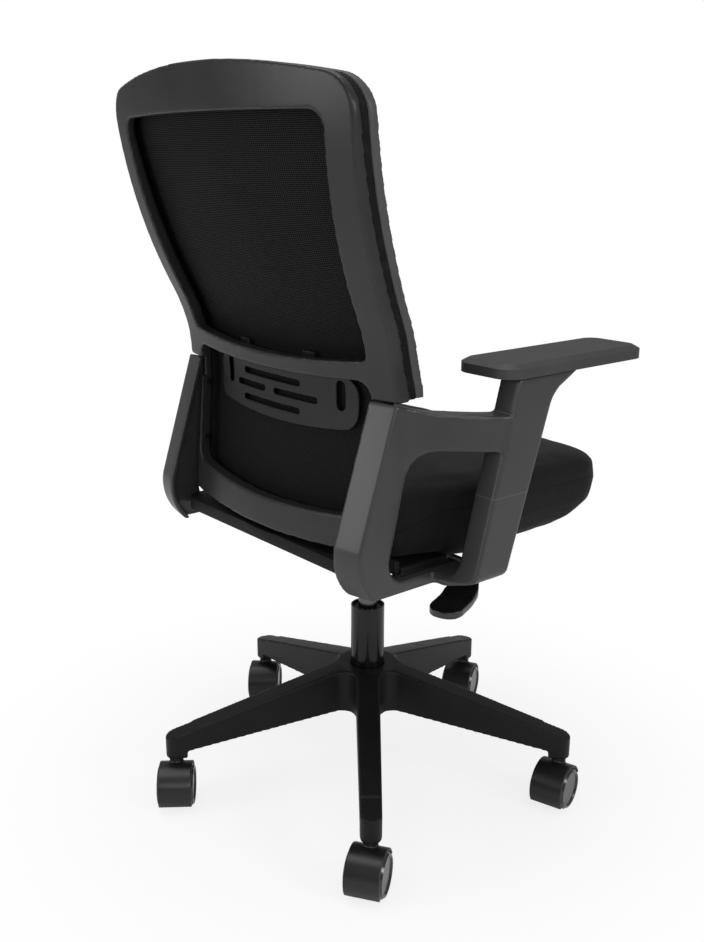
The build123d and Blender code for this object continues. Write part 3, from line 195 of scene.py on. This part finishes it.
# %% [markdown]
# ## Grain of moulded plastic
#
# Most of the chair is moulded plastic, with a fine grain and a tone that drifts a little. An image
# could carry both, but noise in a shader needs no file and has no seams. Each effect on this chair
# is a node group, built once, with its own inputs. It reads Object coordinates, which are metres on
# this chair.


# %% Build the grain
def new_group(name, inputs, outputs):
    """An empty shader node group with named float sockets."""
    group = bpy.data.node_groups.new(name, "ShaderNodeTree")
    for label, value in inputs:
        socket = group.interface.new_socket(label, in_out="INPUT", socket_type="NodeSocketFloat")
        socket.default_value = value
    for label in outputs:
        group.interface.new_socket(label, in_out="OUTPUT", socket_type="NodeSocketFloat")
    start = group.nodes.new("NodeGroupInput")
    end = group.nodes.new("NodeGroupOutput")
    return group, start, end


def object_axes(group):
    """The X, Y and Z of the piece's Object coordinates and, last, all three as one vector."""
    place = group.nodes.new("ShaderNodeTexCoord")
    split = group.nodes.new("ShaderNodeSeparateXYZ")
    group.links.new(place.outputs["Object"], split.inputs["Vector"])
    return split.outputs["X"], split.outputs["Y"], split.outputs["Z"], place.outputs["Object"]


grain_scale, mottle_scale = 900.0, 14.0
grain_group, start, end = new_group(
    "moulded_grain", [("Grain Scale", grain_scale), ("Mottle Scale", mottle_scale)],
    ["Grain", "Mottle"])
vector = object_axes(grain_group)[3]
for label, detail in (("Grain", 2.0), ("Mottle", 4.0)):
    noise = grain_group.nodes.new("ShaderNodeTexNoise")
    noise.inputs["Detail"].default_value = detail
    grain_group.links.new(vector, noise.inputs["Vector"])
    grain_group.links.new(start.outputs[f"{label} Scale"], noise.inputs["Scale"])
    grain_group.links.new(noise.outputs["Fac"], end.inputs[label])
print("effect", grain_group.name)

# %% [markdown]
# ## Loops of the knitted back
#
# The back is knitted in rows of small loops. Each loop could be a mesh, but that would take far too
# many faces, so two waves stand for them: one along Z for the ribs and one along X for the loops.
# Their pitches are in metres.


# %% Build the knit
def maths(group, operation, first, second=None):
    """The result of a math node whose inputs are sockets or plain numbers."""
    node = group.nodes.new("ShaderNodeMath")
    node.operation = operation
    for slot, value in enumerate((first, second)):
        if isinstance(value, (int, float)):
            node.inputs[slot].default_value = value
        elif value is not None:
            group.links.new(value, node.inputs[slot])
    return node.outputs["Value"]


def ripple(group, distance, pitch):
    """A wave from 0 to 1 along one coordinate, with a pitch in metres."""
    turns = maths(group, "DIVIDE", distance, pitch)
    angle = maths(group, "MULTIPLY", turns, 2 * pi)
    wave = maths(group, "SINE", angle)
    half = maths(group, "MULTIPLY", wave, 0.5)
    return maths(group, "ADD", half, 0.5)


rib_pitch, loop_pitch = 0.0022, 0.0034
loop_share, plain_share = 0.7, 0.3
knit_group, start, end = new_group(
    "ribbed_knit", [("Rib Pitch", rib_pitch), ("Loop Pitch", loop_pitch)], ["Height", "Thread"])
x_axis, _, z_axis, _ = object_axes(knit_group)
ribs = ripple(knit_group, z_axis, start.outputs["Rib Pitch"])
loops = ripple(knit_group, x_axis, start.outputs["Loop Pitch"])
looped = maths(knit_group, "MULTIPLY", loops, loop_share)
# The knit's colour follows these waves too: its lighter thread tops are painted highlight and the
# darker gaps between them painted shade.
thread = maths(knit_group, "MULTIPLY", ribs, maths(knit_group, "ADD", looped, plain_share))
knit_group.links.new(thread, end.inputs["Height"])
knit_group.links.new(thread, end.inputs["Thread"])
print("effect", knit_group.name)

# %% [markdown]
# ## Weave of the cloth
#
# The seat's cover is woven, and its threads show on every side of the cushion. A UV map could carry
# them, but remeshing removes it. So a wave along each axis is added up, and a cloud of noise breaks
# up the tint.

# %% Build the weave
weave_group, start, end = new_group("woven_cloth", [("Pitch", 0.0016)], ["Height", "Tint"])
x_axis, y_axis, z_axis, vector = object_axes(weave_group)
waves = [ripple(weave_group, axis, start.outputs["Pitch"]) for axis in (x_axis, y_axis, z_axis)]
threads = maths(weave_group, "ADD", maths(weave_group, "ADD", waves[0], waves[1]), waves[2])
height = maths(weave_group, "MULTIPLY", threads, 1 / 3)
cloud = weave_group.nodes.new("ShaderNodeTexNoise")
cloud.inputs["Scale"].default_value = 60.0
cloud.inputs["Detail"].default_value = 6.0
weave_group.links.new(vector, cloud.inputs["Vector"])
# The tint grows with the thread height, so the hollows between threads are darker as painted shade,
# and the cloud of noise varies the tone at random.
tint = maths(weave_group, "MULTIPLY", height, cloud.outputs["Fac"])
weave_group.links.new(height, end.inputs["Height"])
weave_group.links.new(tint, end.inputs["Tint"])
print("effect", weave_group.name)

# %% [markdown]
# ## Lines where parts meet
#
# A thin light line crosses each arm post where its two halves meet: a painted highlight for the
# light that the parting line catches. A dark seam runs round the cushion. They could be cut as
# grooves, but they are finer than the nets of these pieces, so they are drawn. A line keeps one
# height up to its start along Y and slopes down from there on.

# %% Build the line
line_group, start, end = new_group(
    "meeting_line", [("Height", 0.5), ("Start", 0.0), ("Slope", 0.0), ("Width", 0.001)], ["Line"])
_, y_axis, z_axis, _ = object_axes(line_group)
behind = maths(line_group, "SUBTRACT", y_axis, start.outputs["Start"])
past = maths(line_group, "MAXIMUM", behind, 0.0)
drop = maths(line_group, "MULTIPLY", past, start.outputs["Slope"])
level = maths(line_group, "SUBTRACT", start.outputs["Height"], drop)
away = maths(line_group, "ABSOLUTE", maths(line_group, "SUBTRACT", z_axis, level))
widths_away = maths(line_group, "DIVIDE", away, start.outputs["Width"])
near = maths(line_group, "SUBTRACT", 1.0, widths_away)
line_group.links.new(maths(line_group, "MAXIMUM", near, 0.0), end.inputs["Line"])
print("effects", [group.name for group in bpy.data.node_groups])

# %% [markdown]
# ## Grey plastic of the frames
#
# The back, the arms and their pads are grey plastic. Each material could be wired by itself, but
# all finishes of the chair share one plan, so a function builds them: a Principled shader whose
# colour and roughness drift with an effect, and whose grain stands up as a bump. Values that are
# the same all over are set straight on the shader. The chair has no hues, so one level stands for a
# colour.

# %% Make the grey finishes
ramp_stops = (0.3, 0.7)
grain_depth = 0.0004


def grey(level):
    """A colour without a hue."""
    return level, level, level, 1


def finish(name, group, values, levels, roughness, bump, depth, tone="Mottle", relief="Grain",
           line=None, **fixed):
    """A material whose colour and roughness follow one output of an effect and its bump another."""
    material = bpy.data.materials.new(name)
    material.use_nodes = True
    tree = material.node_tree
    shader = tree.nodes["Principled BSDF"]
    effect = tree.nodes.new("ShaderNodeGroup")
    effect.node_tree = group
    for label, value in values.items():
        effect.inputs[label].default_value = value
    ramp = tree.nodes.new("ShaderNodeValToRGB")
    for stop, place, level in zip(ramp.color_ramp.elements, ramp_stops, levels):
        stop.position = place
        stop.color = grey(level)
    tree.links.new(effect.outputs[tone], ramp.inputs["Fac"])
    colour = ramp.outputs["Color"]
    if line:
        line_values, line_level = line
        mark = tree.nodes.new("ShaderNodeGroup")
        mark.node_tree = line_group
        for label, value in line_values.items():
            mark.inputs[label].default_value = value
        tint = tree.nodes.new("ShaderNodeMix")
        tint.data_type = "RGBA"
        tint.inputs["B"].default_value = grey(line_level)
        tree.links.new(mark.outputs["Line"], tint.inputs["Factor"])
        tree.links.new(colour, tint.inputs["A"])
        colour = tint.outputs["Result"]
    tree.links.new(colour, shader.inputs["Base Color"])
    spread = tree.nodes.new("ShaderNodeMapRange")
    spread.inputs["To Min"].default_value = roughness[0]
    spread.inputs["To Max"].default_value = roughness[1]
    tree.links.new(effect.outputs[tone], spread.inputs["Value"])
    tree.links.new(spread.outputs["Result"], shader.inputs["Roughness"])
    raised = tree.nodes.new("ShaderNodeBump")
    raised.inputs["Strength"].default_value = bump
    raised.inputs["Distance"].default_value = depth
    tree.links.new(effect.outputs[relief], raised.inputs["Height"])
    tree.links.new(raised.outputs["Normal"], shader.inputs["Normal"])
    for label, value in fixed.items():
        shader.inputs[label.replace("_", " ")].default_value = value
    return material


def grained(name, levels, roughness, scale=grain_scale, bump=0.25, **fixed):
    """Plastic, paint or metal with a fine grain."""
    values = {"Grain Scale": scale, "Mottle Scale": mottle_scale}
    return finish(name, grain_group, values, levels, roughness, bump, grain_depth, **fixed)


frame_grey = grained("frame_grey_plastic", (0.015, 0.02), (0.3, 0.38), Specular_IOR_Level=0.34)
# The light line on each arm post is a painted highlight along its parting line.
post_painted_highlight = ({"Height": 0.520, "Start": 0.1, "Slope": 8.0, "Width": 0.0007}, 0.09)
arm_grey = grained("arm_grey_plastic", (0.026, 0.033), (0.3, 0.38), Specular_IOR_Level=0.45,
                   line=post_painted_highlight)
pad_grey = grained("pad_soft_plastic", (0.03, 0.038), (0.45, 0.55), 1400.0, 0.35,
                   Specular_IOR_Level=0.4)
print("grey finishes", frame_grey.name, arm_grey.name, pad_grey.name)

# %% [markdown]
# ## Black plastic
#
# The base, the casters, the board, the lumbar plate and the lever are black, but not one black.
# Wheels and lever shine, nylon is satin and the board is dull. One material for all of them would
# melt them into one shape, so each has its own level, roughness and grain. The rim of the mesh is
# grey.

# %% Make the black finishes
base_black = grained("base_black_nylon", (0.007, 0.01), (0.34, 0.42), 1100.0, 0.3,
                     Specular_IOR_Level=0.16)
hood_black = grained("caster_black_nylon", (0.006, 0.009), (0.28, 0.36), Specular_IOR_Level=0.45)
wheel_black = grained("wheel_gloss_plastic", (0.012, 0.017), (0.16, 0.26), 700.0, 0.08,
                      Coat_Weight=0.3)
board_black = grained("board_black_plastic", (0.003, 0.005), (0.55, 0.65), Specular_IOR_Level=0.2)
rim_grey = grained("mesh_rim_plastic", (0.044, 0.054), (0.4, 0.5), Specular_IOR_Level=0.4)
lumbar_black = grained("lumbar_black_plastic", (0.009, 0.012), (0.4, 0.5), Specular_IOR_Level=0.28)
lever_black = grained("lever_gloss_plastic", (0.005, 0.008), (0.2, 0.28), 700.0, 0.06,
                      Coat_Weight=0.2)
print("finishes so far", len(bpy.data.materials))

# %% [markdown]
# ## Paint and metal
#
# The lift's tube has gloss paint, the mechanism is powder coated, and axles, stems and bolts are
# steel. A plain grey could stand for steel, but only a metallic shader reflects as metal does. Its
# grain is much flatter than that of plastic.

# %% Make the paint and metal finishes
tube_black = grained("tube_gloss_paint", (0.003, 0.005), (0.14, 0.2), 500.0, 0.05,
                     Specular_IOR_Level=0.3)
powder_black = grained("powder_coat", (0.006, 0.009), (0.5, 0.6), 1600.0, 0.4)
steel = grained("turned_steel", (0.32, 0.42), (0.24, 0.38), 1200.0, 0.08, Metallic=1.0)
dark_steel = grained("blackened_steel", (0.05, 0.08), (0.28, 0.4), 1200.0, 0.08, Metallic=1.0)
chrome = grained("polished_cylinder", (0.1, 0.14), (0.2, 0.3), 900.0, 0.03, Metallic=1.0)
print("metals", steel.name, dark_steel.name, chrome.name)

# %% [markdown]
# ## Cloth
#
# The back is a ribbed black knit on an edge of denser cloth, and the seat has a woven cover with a
# seam. Plastic's shader would shine too much here. Cloth scatters light, so its roughness is high,
# its specular level low, and its threads stand up as a bump.


# %% Make the cloth finishes
def cloth(name, group, values, levels, roughness, bump, depth, tone, **fixed):
    """Knitted or woven cloth, whose threads stand up."""
    return finish(name, group, values, levels, roughness, bump, depth, tone, "Height", **fixed)


# Its light thread tops and dark gaps are painted highlight and painted shade.
knit_black = cloth("ribbed_knit_cloth", knit_group,
                   {"Rib Pitch": rib_pitch, "Loop Pitch": loop_pitch}, (0.0004, 0.024),
                   (0.75, 0.6), bump=0.6, depth=0.0006, tone="Thread", Specular_IOR_Level=0.12)
# Both woven cloths are darker in the hollows of their weave, as painted shade.
edge_knit = cloth("knit_edge_cloth", weave_group, {"Pitch": 0.0021}, (0.002, 0.012), (0.8, 0.7),
                  bump=0.7, depth=0.0009, tone="Tint", Specular_IOR_Level=0.2)
seat_seam = ({"Height": 0.487, "Start": 0.063, "Slope": 0.39, "Width": 0.0018}, 0.0003)
seat_black = cloth("woven_seat_cloth", weave_group, {"Pitch": 0.0015}, (0.004, 0.0115),
                   (0.86, 0.76), bump=0.5, depth=0.0005, tone="Tint", line=seat_seam,
                   Specular_IOR_Level=0.2, Sheen_Weight=0.05)
print("cloths", knit_black.name, edge_knit.name, seat_black.name)

# %% [markdown]
# ## Dressing the CAD nodes
#
# A node whose CAD shape is right stays and only gets its finish. Materials could be set one by one
# in the pieces' own cells, but a table shows at a glance what each piece is made of. What it
# doesn't name is steel.


# %% Dress the nodes
def dress(piece, material):
    """Give a piece or a CAD node one finish in place of what it came with."""
    piece.data.materials.clear()
    piece.data.materials.append(material)


finishes = {
    "star_base": base_black, "lift_outer_tube": tube_black, "lift_guide_bush": base_black,
    "lift_cylinder": chrome, "mechanism_housing": powder_black, "seat_plate": powder_black,
    "tension_knob": lever_black, "lever_fulcrum": base_black, "lever_paddle": lever_black,
    "lever_rod": powder_black, "seat_board": board_black, "seat_cushion": seat_black,
    "arm_frame_left": arm_grey, "arm_frame_right": arm_grey, "arm_pad_left": pad_grey,
    "arm_pad_right": pad_grey, "back_frame": frame_grey, "mesh_frame": edge_knit,
    "back_mesh": knit_black, "mesh_rim": rim_grey, "lumbar_guides": board_black,
    "lumbar_support": lumbar_black, "back_bolts": dark_steel, "arm_bolts": dark_steel,
    "seat_plate_bolts": dark_steel,
}
for name, node in nodes.items():
    if name.startswith("caster_hood"):
        dress(node, hood_black)
    elif name.startswith("caster_wheel"):
        dress(node, wheel_black)
    else:
        dress(node, finishes.get(name, steel))
print("finishes", len(bpy.data.materials))

# %% [markdown]
# ## Round edges on the back frame
#
# A drawing has sharp edges and a moulding never has. A Bevel modifier could round them, but the
# frame's CAD mesh has thin triangles along its edges, which leave a bevel no room. So a copy of the
# mesh is merged and remeshed into an even net of small squares, and a few passes of a Smooth
# modifier melt its edges round: the coarser the net and the more passes, the rounder. The copy then
# stands for its node.

# %% Round the back frame
merge_distance = 0.00001
body_of_node = {node: body
                for body, members in frame["record"]["behaviour"]["bodies"].items()
                for node in members}


def select_only(piece):
    """Select one piece alone and make it the active one."""
    bpy.ops.object.select_all(action="DESELECT")
    piece.select_set(True)
    bpy.context.view_layer.objects.active = piece


def merged_copy(node, name):
    """A free copy of a CAD node's mesh with its loose triangles merged."""
    piece = bpy.data.objects.new(name, nodes[node].data.copy())
    scene.collection.objects.link(piece)
    select_only(piece)
    bpy.ops.object.mode_set(mode="EDIT")
    bpy.ops.mesh.select_all(action="SELECT")
    bpy.ops.mesh.remove_doubles(threshold=merge_distance)
    bpy.ops.object.mode_set(mode="OBJECT")
    return piece


def add_net(piece, grid):
    """Add a modifier that remeshes a piece into an even net."""
    net = piece.modifiers.new("Net", "REMESH")
    net.mode = "VOXEL"
    net.voxel_size = grid


def apply_all(piece):
    """Apply every modifier of a piece, first to last."""
    bpy.context.view_layer.objects.active = piece
    for modifier in list(piece.modifiers):
        bpy.ops.object.modifier_apply(modifier=modifier.name)


def rounded(node, grid, passes, keep):
    """A copy of a node that stands for it, with melted edges and a share of its facets kept."""
    piece = merged_copy(node, f"{node}_moulding")
    add_net(piece, grid)
    soft = piece.modifiers.new("Round", "SMOOTH")
    soft.factor = 0.5
    soft.iterations = passes
    if keep < 1.0:
        piece.modifiers.new("Thin", "DECIMATE").ratio = keep
    apply_all(piece)
    select_only(piece)
    bpy.ops.object.shade_smooth()
    dress(piece, nodes[node].data.materials[0])
    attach(piece, body_of_node[node])
    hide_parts(node)
    return piece


back = rounded("back_frame", 0.0018, 10, 1.0)
print(back.name, "faces", len(back.data.polygons))

# %% [markdown]
# ## Round edges on the other mouldings
#
# The arms, the mesh's rim, the base, the lever's paddle, the lumbar plate and the casters' hoods
# are mouldings too. They could share one net, but a small piece would lose its form in a coarse
# one, so each has its own. Only half of the base's facets are kept, because it is large. The tab of
# each arm, bolted under the seat board, is painted black like the board, as painted shade under the
# cushion.

# %% Round the other mouldings
# Each row has a node, the grid of its net, its passes and the share of facets kept.
mouldings = [
    ("arm_frame_left", 0.0018, 10, 1.0),
    ("arm_frame_right", 0.0018, 10, 1.0),
    ("mesh_rim", 0.0016, 8, 1.0),
    ("star_base", 0.0016, 8, 0.5),
    ("lever_paddle", 0.0012, 5, 1.0),
    ("lumbar_support", 0.001, 3, 1.0),
]
mouldings += [(f"caster_hood_{number}", 0.001, 4, 1.0) for number in range(1, 6)]
# The faces of the arms' tabs get the board's black: painted shade under the cushion.
tab_side, tab_rear, tab_top = 0.2165, 0.1315, 0.425
for node, grid, passes, keep in mouldings:
    piece = rounded(node, grid, passes, keep)
    if node.startswith("arm_frame"):
        piece.data.materials.append(board_black)
        for polygon in piece.data.polygons:
            x, y, z = polygon.center
            if abs(x) < tab_side and y < tab_rear and z < tab_top:
                polygon.material_index = 1
    print(piece.name, "faces", len(piece.data.polygons))

# %% [markdown]
# ## The seat board's tail
#
# Behind the cushion the board runs on under the back's lower bar as a straight black apron between
# the arms. The board's rear faces could be extruded, but a block is easier to give a place and a
# size. So a block with rounded rear corners is joined to a copy of the board. A narrow strip
# reaches out on both sides of it behind the arms' tabs.

# %% Add the apron to the board
apron_size, apron_place = (0.39, 0.058, 0.016), (0, 0.164, 0.4258)
strip_size, strip_place = (0.424, 0.0085, 0.0158), (0, 0.1356, 0.4257)
apron_corner = 0.028
board = merged_copy("seat_board", "seat_board_apron")


def block(size, place):
    """A box of one size with its middle at one place."""
    bpy.ops.object.select_all(action="DESELECT")
    bpy.ops.mesh.primitive_cube_add(size=1)
    box = bpy.context.object
    bpy.ops.object.mode_set(mode="EDIT")
    bpy.ops.mesh.select_all(action="SELECT")
    bpy.ops.transform.resize(value=size, center_override=(0, 0, 0))
    bpy.ops.transform.translate(value=place)
    bpy.ops.object.mode_set(mode="OBJECT")
    return box


def join_block(box):
    """Join a box to the board and drop it."""
    union = board.modifiers.new("Join", "BOOLEAN")
    union.operation = "UNION"
    union.object = box
    apply_all(board)
    bpy.data.objects.remove(box)


apron = block(apron_size, apron_place)
rear_corners = apron.modifiers.new("Corner", "BEVEL")
rear_corners.width = apron_corner
rear_corners.segments = 6
rear_corners.limit_method = "WEIGHT"
weights = apron.data.attributes.new("bevel_weight_edge", "FLOAT", "EDGE")
for edge in apron.data.edges:
    first, second = (apron.data.vertices[number].co for number in edge.vertices)
    upright = abs(first.z - second.z) > apron_size[2] / 2
    weights.data[edge.index].value = 1.0 if upright and first.y > apron_place[1] else 0.0
apply_all(apron)
join_block(apron)
join_block(block(strip_size, strip_place))
print("board with apron, faces", len(board.data.polygons))

# %% [markdown]
# ## The seat board's edges
#
# The board is a plain dark plate, and little of it shows. A fine net would be wasted on it, so a
# small bevel breaks its edges.

# %% Break the board's edges
board_edge = 0.0015
edges = board.modifiers.new("Edge", "BEVEL")
edges.width = board_edge
edges.segments = 2
edges.limit_method = "ANGLE"
edges.angle_limit = radians(40)
apply_all(board)
select_only(board)
bpy.ops.object.shade_smooth_by_angle(angle=radians(35))
dress(board, board_black)
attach(board, "upper")
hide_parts("seat_board")
print("board faces", len(board.data.polygons))

# %% [markdown]
# ## The knitted back
#
# The back is one knitted sheet pulled tight over its rim. A cloth simulation could stretch it, but
# a tight sheet has no folds to find, and its CAD solid already has the form. So the rows of the
# knit are laid onto that solid's face. Where a row ends is found by looking along Y for the sheet.

# %% Find the sheet's face and outline
look_from, look_past, halvings = 0.1, 0.005, 18
sheet_low, sheet_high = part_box("back_mesh")
sheet_tree = BVHTree.FromObject(nodes["back_mesh"], bpy.context.evaluated_depsgraph_get())


def sheet_face(x, z):
    """Y of the CAD sheet's front face at one place, or None outside its outline."""
    hit = sheet_tree.ray_cast(Vector((x, sheet_low.y - look_from, z)), Vector((0, 1, 0)))[0]
    return None if hit is None else hit.y


def half_width(z):
    """Half the width of the CAD sheet at one height."""
    inside, outside = 0.0, sheet_high.x + look_past
    for _ in range(halvings):
        middle = (inside + outside) / 2
        if sheet_face(middle, z) is None:
            outside = middle
        else:
            inside = middle
    return inside


print("sheet's half width in its middle", round(half_width((sheet_low.z + sheet_high.z) / 2), 3))

# %% [markdown]
# ## The knit's rows
#
# A flat grid gives the knit its rows. Each row is stretched to the width that the CAD sheet has at
# that height and laid onto the sheet's face. The rows then rise and fall in ribs, four rows to a
# rib. A bump alone could draw the ribs, but their shadow and their edge need real height.

# %% Stretch the knit over its rim
rows_per_rib = 4
column_count = 36
margin = 0.0012
end_share, pull_in = 0.9995, 0.98
set_back, rib_depth = 0.0006, 0.00025
knit_height = sheet_high.z - sheet_low.z - 2 * margin
row_count = int(knit_height / rib_pitch * rows_per_rib)
bpy.ops.object.select_all(action="DESELECT")
bpy.ops.mesh.primitive_grid_add(x_subdivisions=column_count, y_subdivisions=row_count, size=1)
knit = bpy.context.object
knit.name = "back_knit"
widths = {}
for vertex in knit.data.vertices:
    across, up = 2 * vertex.co.x, vertex.co.y + 0.5
    z = sheet_low.z + margin + up * knit_height
    row = round(up * row_count)
    if row not in widths:
        widths[row] = half_width(z)
    x = across * widths[row] * end_share
    face = sheet_face(x, z)
    while face is None:
        x *= pull_in
        face = sheet_face(x, z)
    vertex.co = (x, face + set_back, z)
for vertex in knit.data.vertices:
    vertex.co.y -= rib_depth * cos(2 * pi * vertex.co.z / rib_pitch)

# %% [markdown]
# ## The knit's thickness
#
# A real knit has two sides. The grid could be copied and joined at its rim, but Solidify does both
# at once. The knit then stands for the CAD sheet.

# %% Thicken the knit
knit_thickness = 0.0008
bpy.ops.object.mode_set(mode="EDIT")
bpy.ops.mesh.select_all(action="SELECT")
bpy.ops.mesh.normals_make_consistent(inside=False)
bpy.ops.object.mode_set(mode="OBJECT")
solid = knit.modifiers.new("Thread", "SOLIDIFY")
solid.thickness = knit_thickness
solid.offset = 0.0
apply_all(knit)
bpy.ops.object.shade_smooth()
dress(knit, knit_black)
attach(knit, "upper")
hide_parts("back_mesh")
print("knit faces", len(knit.data.polygons))

# %% [markdown]
# ## The seat cushion
#
# The cushion is foam in a woven cover. It could be rounded by subdivision alone, but foam presses
# outwards everywhere at once. So its CAD solid is remeshed into an even net and blown up a little
# by a cloth simulation, which rounds it as foam rounds its cover. A cap keeps it near the solid.

# %% Inflate the cushion
cushion_grid = 0.006
swell_frames, swell_cap = 20, 0.003
cushion = merged_copy("seat_cushion", "seat_cushion_cover")
add_net(cushion, cushion_grid)
apply_all(cushion)


def inflate(piece, frames, cap):
    """Blow a closed net up with a cloth simulation, each point within a cap of its place."""
    start_places = [vertex.co.copy() for vertex in piece.data.vertices]
    foam = piece.modifiers.new("Foam", "CLOTH")
    foam.settings.use_pressure = True
    foam.settings.uniform_pressure_force = 4.0
    foam.settings.effector_weights.gravity = 0.0
    foam.settings.quality = 5
    for number in range(1, frames + 1):
        scene.frame_set(number)
    blown = piece.evaluated_get(bpy.context.evaluated_depsgraph_get()).to_mesh()
    places = [vertex.co.copy() for vertex in blown.vertices]
    piece.modifiers.remove(foam)
    scene.frame_set(1)
    for vertex, old, new in zip(piece.data.vertices, start_places, places):
        move = new - old
        if move.length > cap:
            move = move * (cap / move.length)
        vertex.co = old + move


inflate(cushion, swell_frames, swell_cap)
print("cushion net faces", len(cushion.data.polygons))

# %% [markdown]
# ## The cushion's cover
#
# The cover's lower edge is drawn down over the edge of the seat board, as it is stapled under a
# real one, and in front of each arm's tab it hangs in a lower roll. A separate strip could be
# added, but its upper edge would show, so the net's own lower points are moved down.


# %% Draw the cover down
def ramp(distance, length):
    """A share that grows from 0 to 1 over a length."""
    return min(max(distance / length, 0.0), 1.0)


skirt_height, skirt_stop = 0.04, 0.0005
roll_front, roll_rear, roll_drop = -0.07, 0.0555, 0.0065
roll_inset, roll_side_ramp, roll_front_ramp, roll_rear_ramp = 0.022, 0.01, 0.04, 0.004
board_low, board_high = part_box("seat_board")
skirt_drop = board_high.z - board_low.z - skirt_stop
for vertex in cushion.data.vertices:
    x, y, z = vertex.co
    share = 1.0 - ramp(z - board_high.z, skirt_height)
    outside = ramp(abs(x) - board_high.x + roll_inset, roll_side_ramp)
    between = min(ramp(y - roll_front, roll_front_ramp), ramp(roll_rear - y, roll_rear_ramp))
    vertex.co.z = max(z, board_high.z) - (skirt_drop + roll_drop * outside * between) * share
smooth = cushion.modifiers.new("Smooth", "SUBSURF")
smooth.levels = 1
smooth.render_levels = 1
apply_all(cushion)
select_only(cushion)
bpy.ops.object.shade_smooth()
dress(cushion, seat_black)
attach(cushion, "upper")
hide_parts("seat_cushion")
print("cushion faces", len(cushion.data.polygons))

# %% [markdown]
# ## Finish
#
# The last step sets the view transform to Standard.

# %% Set the view transform
scene.view_settings.view_transform = "Standard"
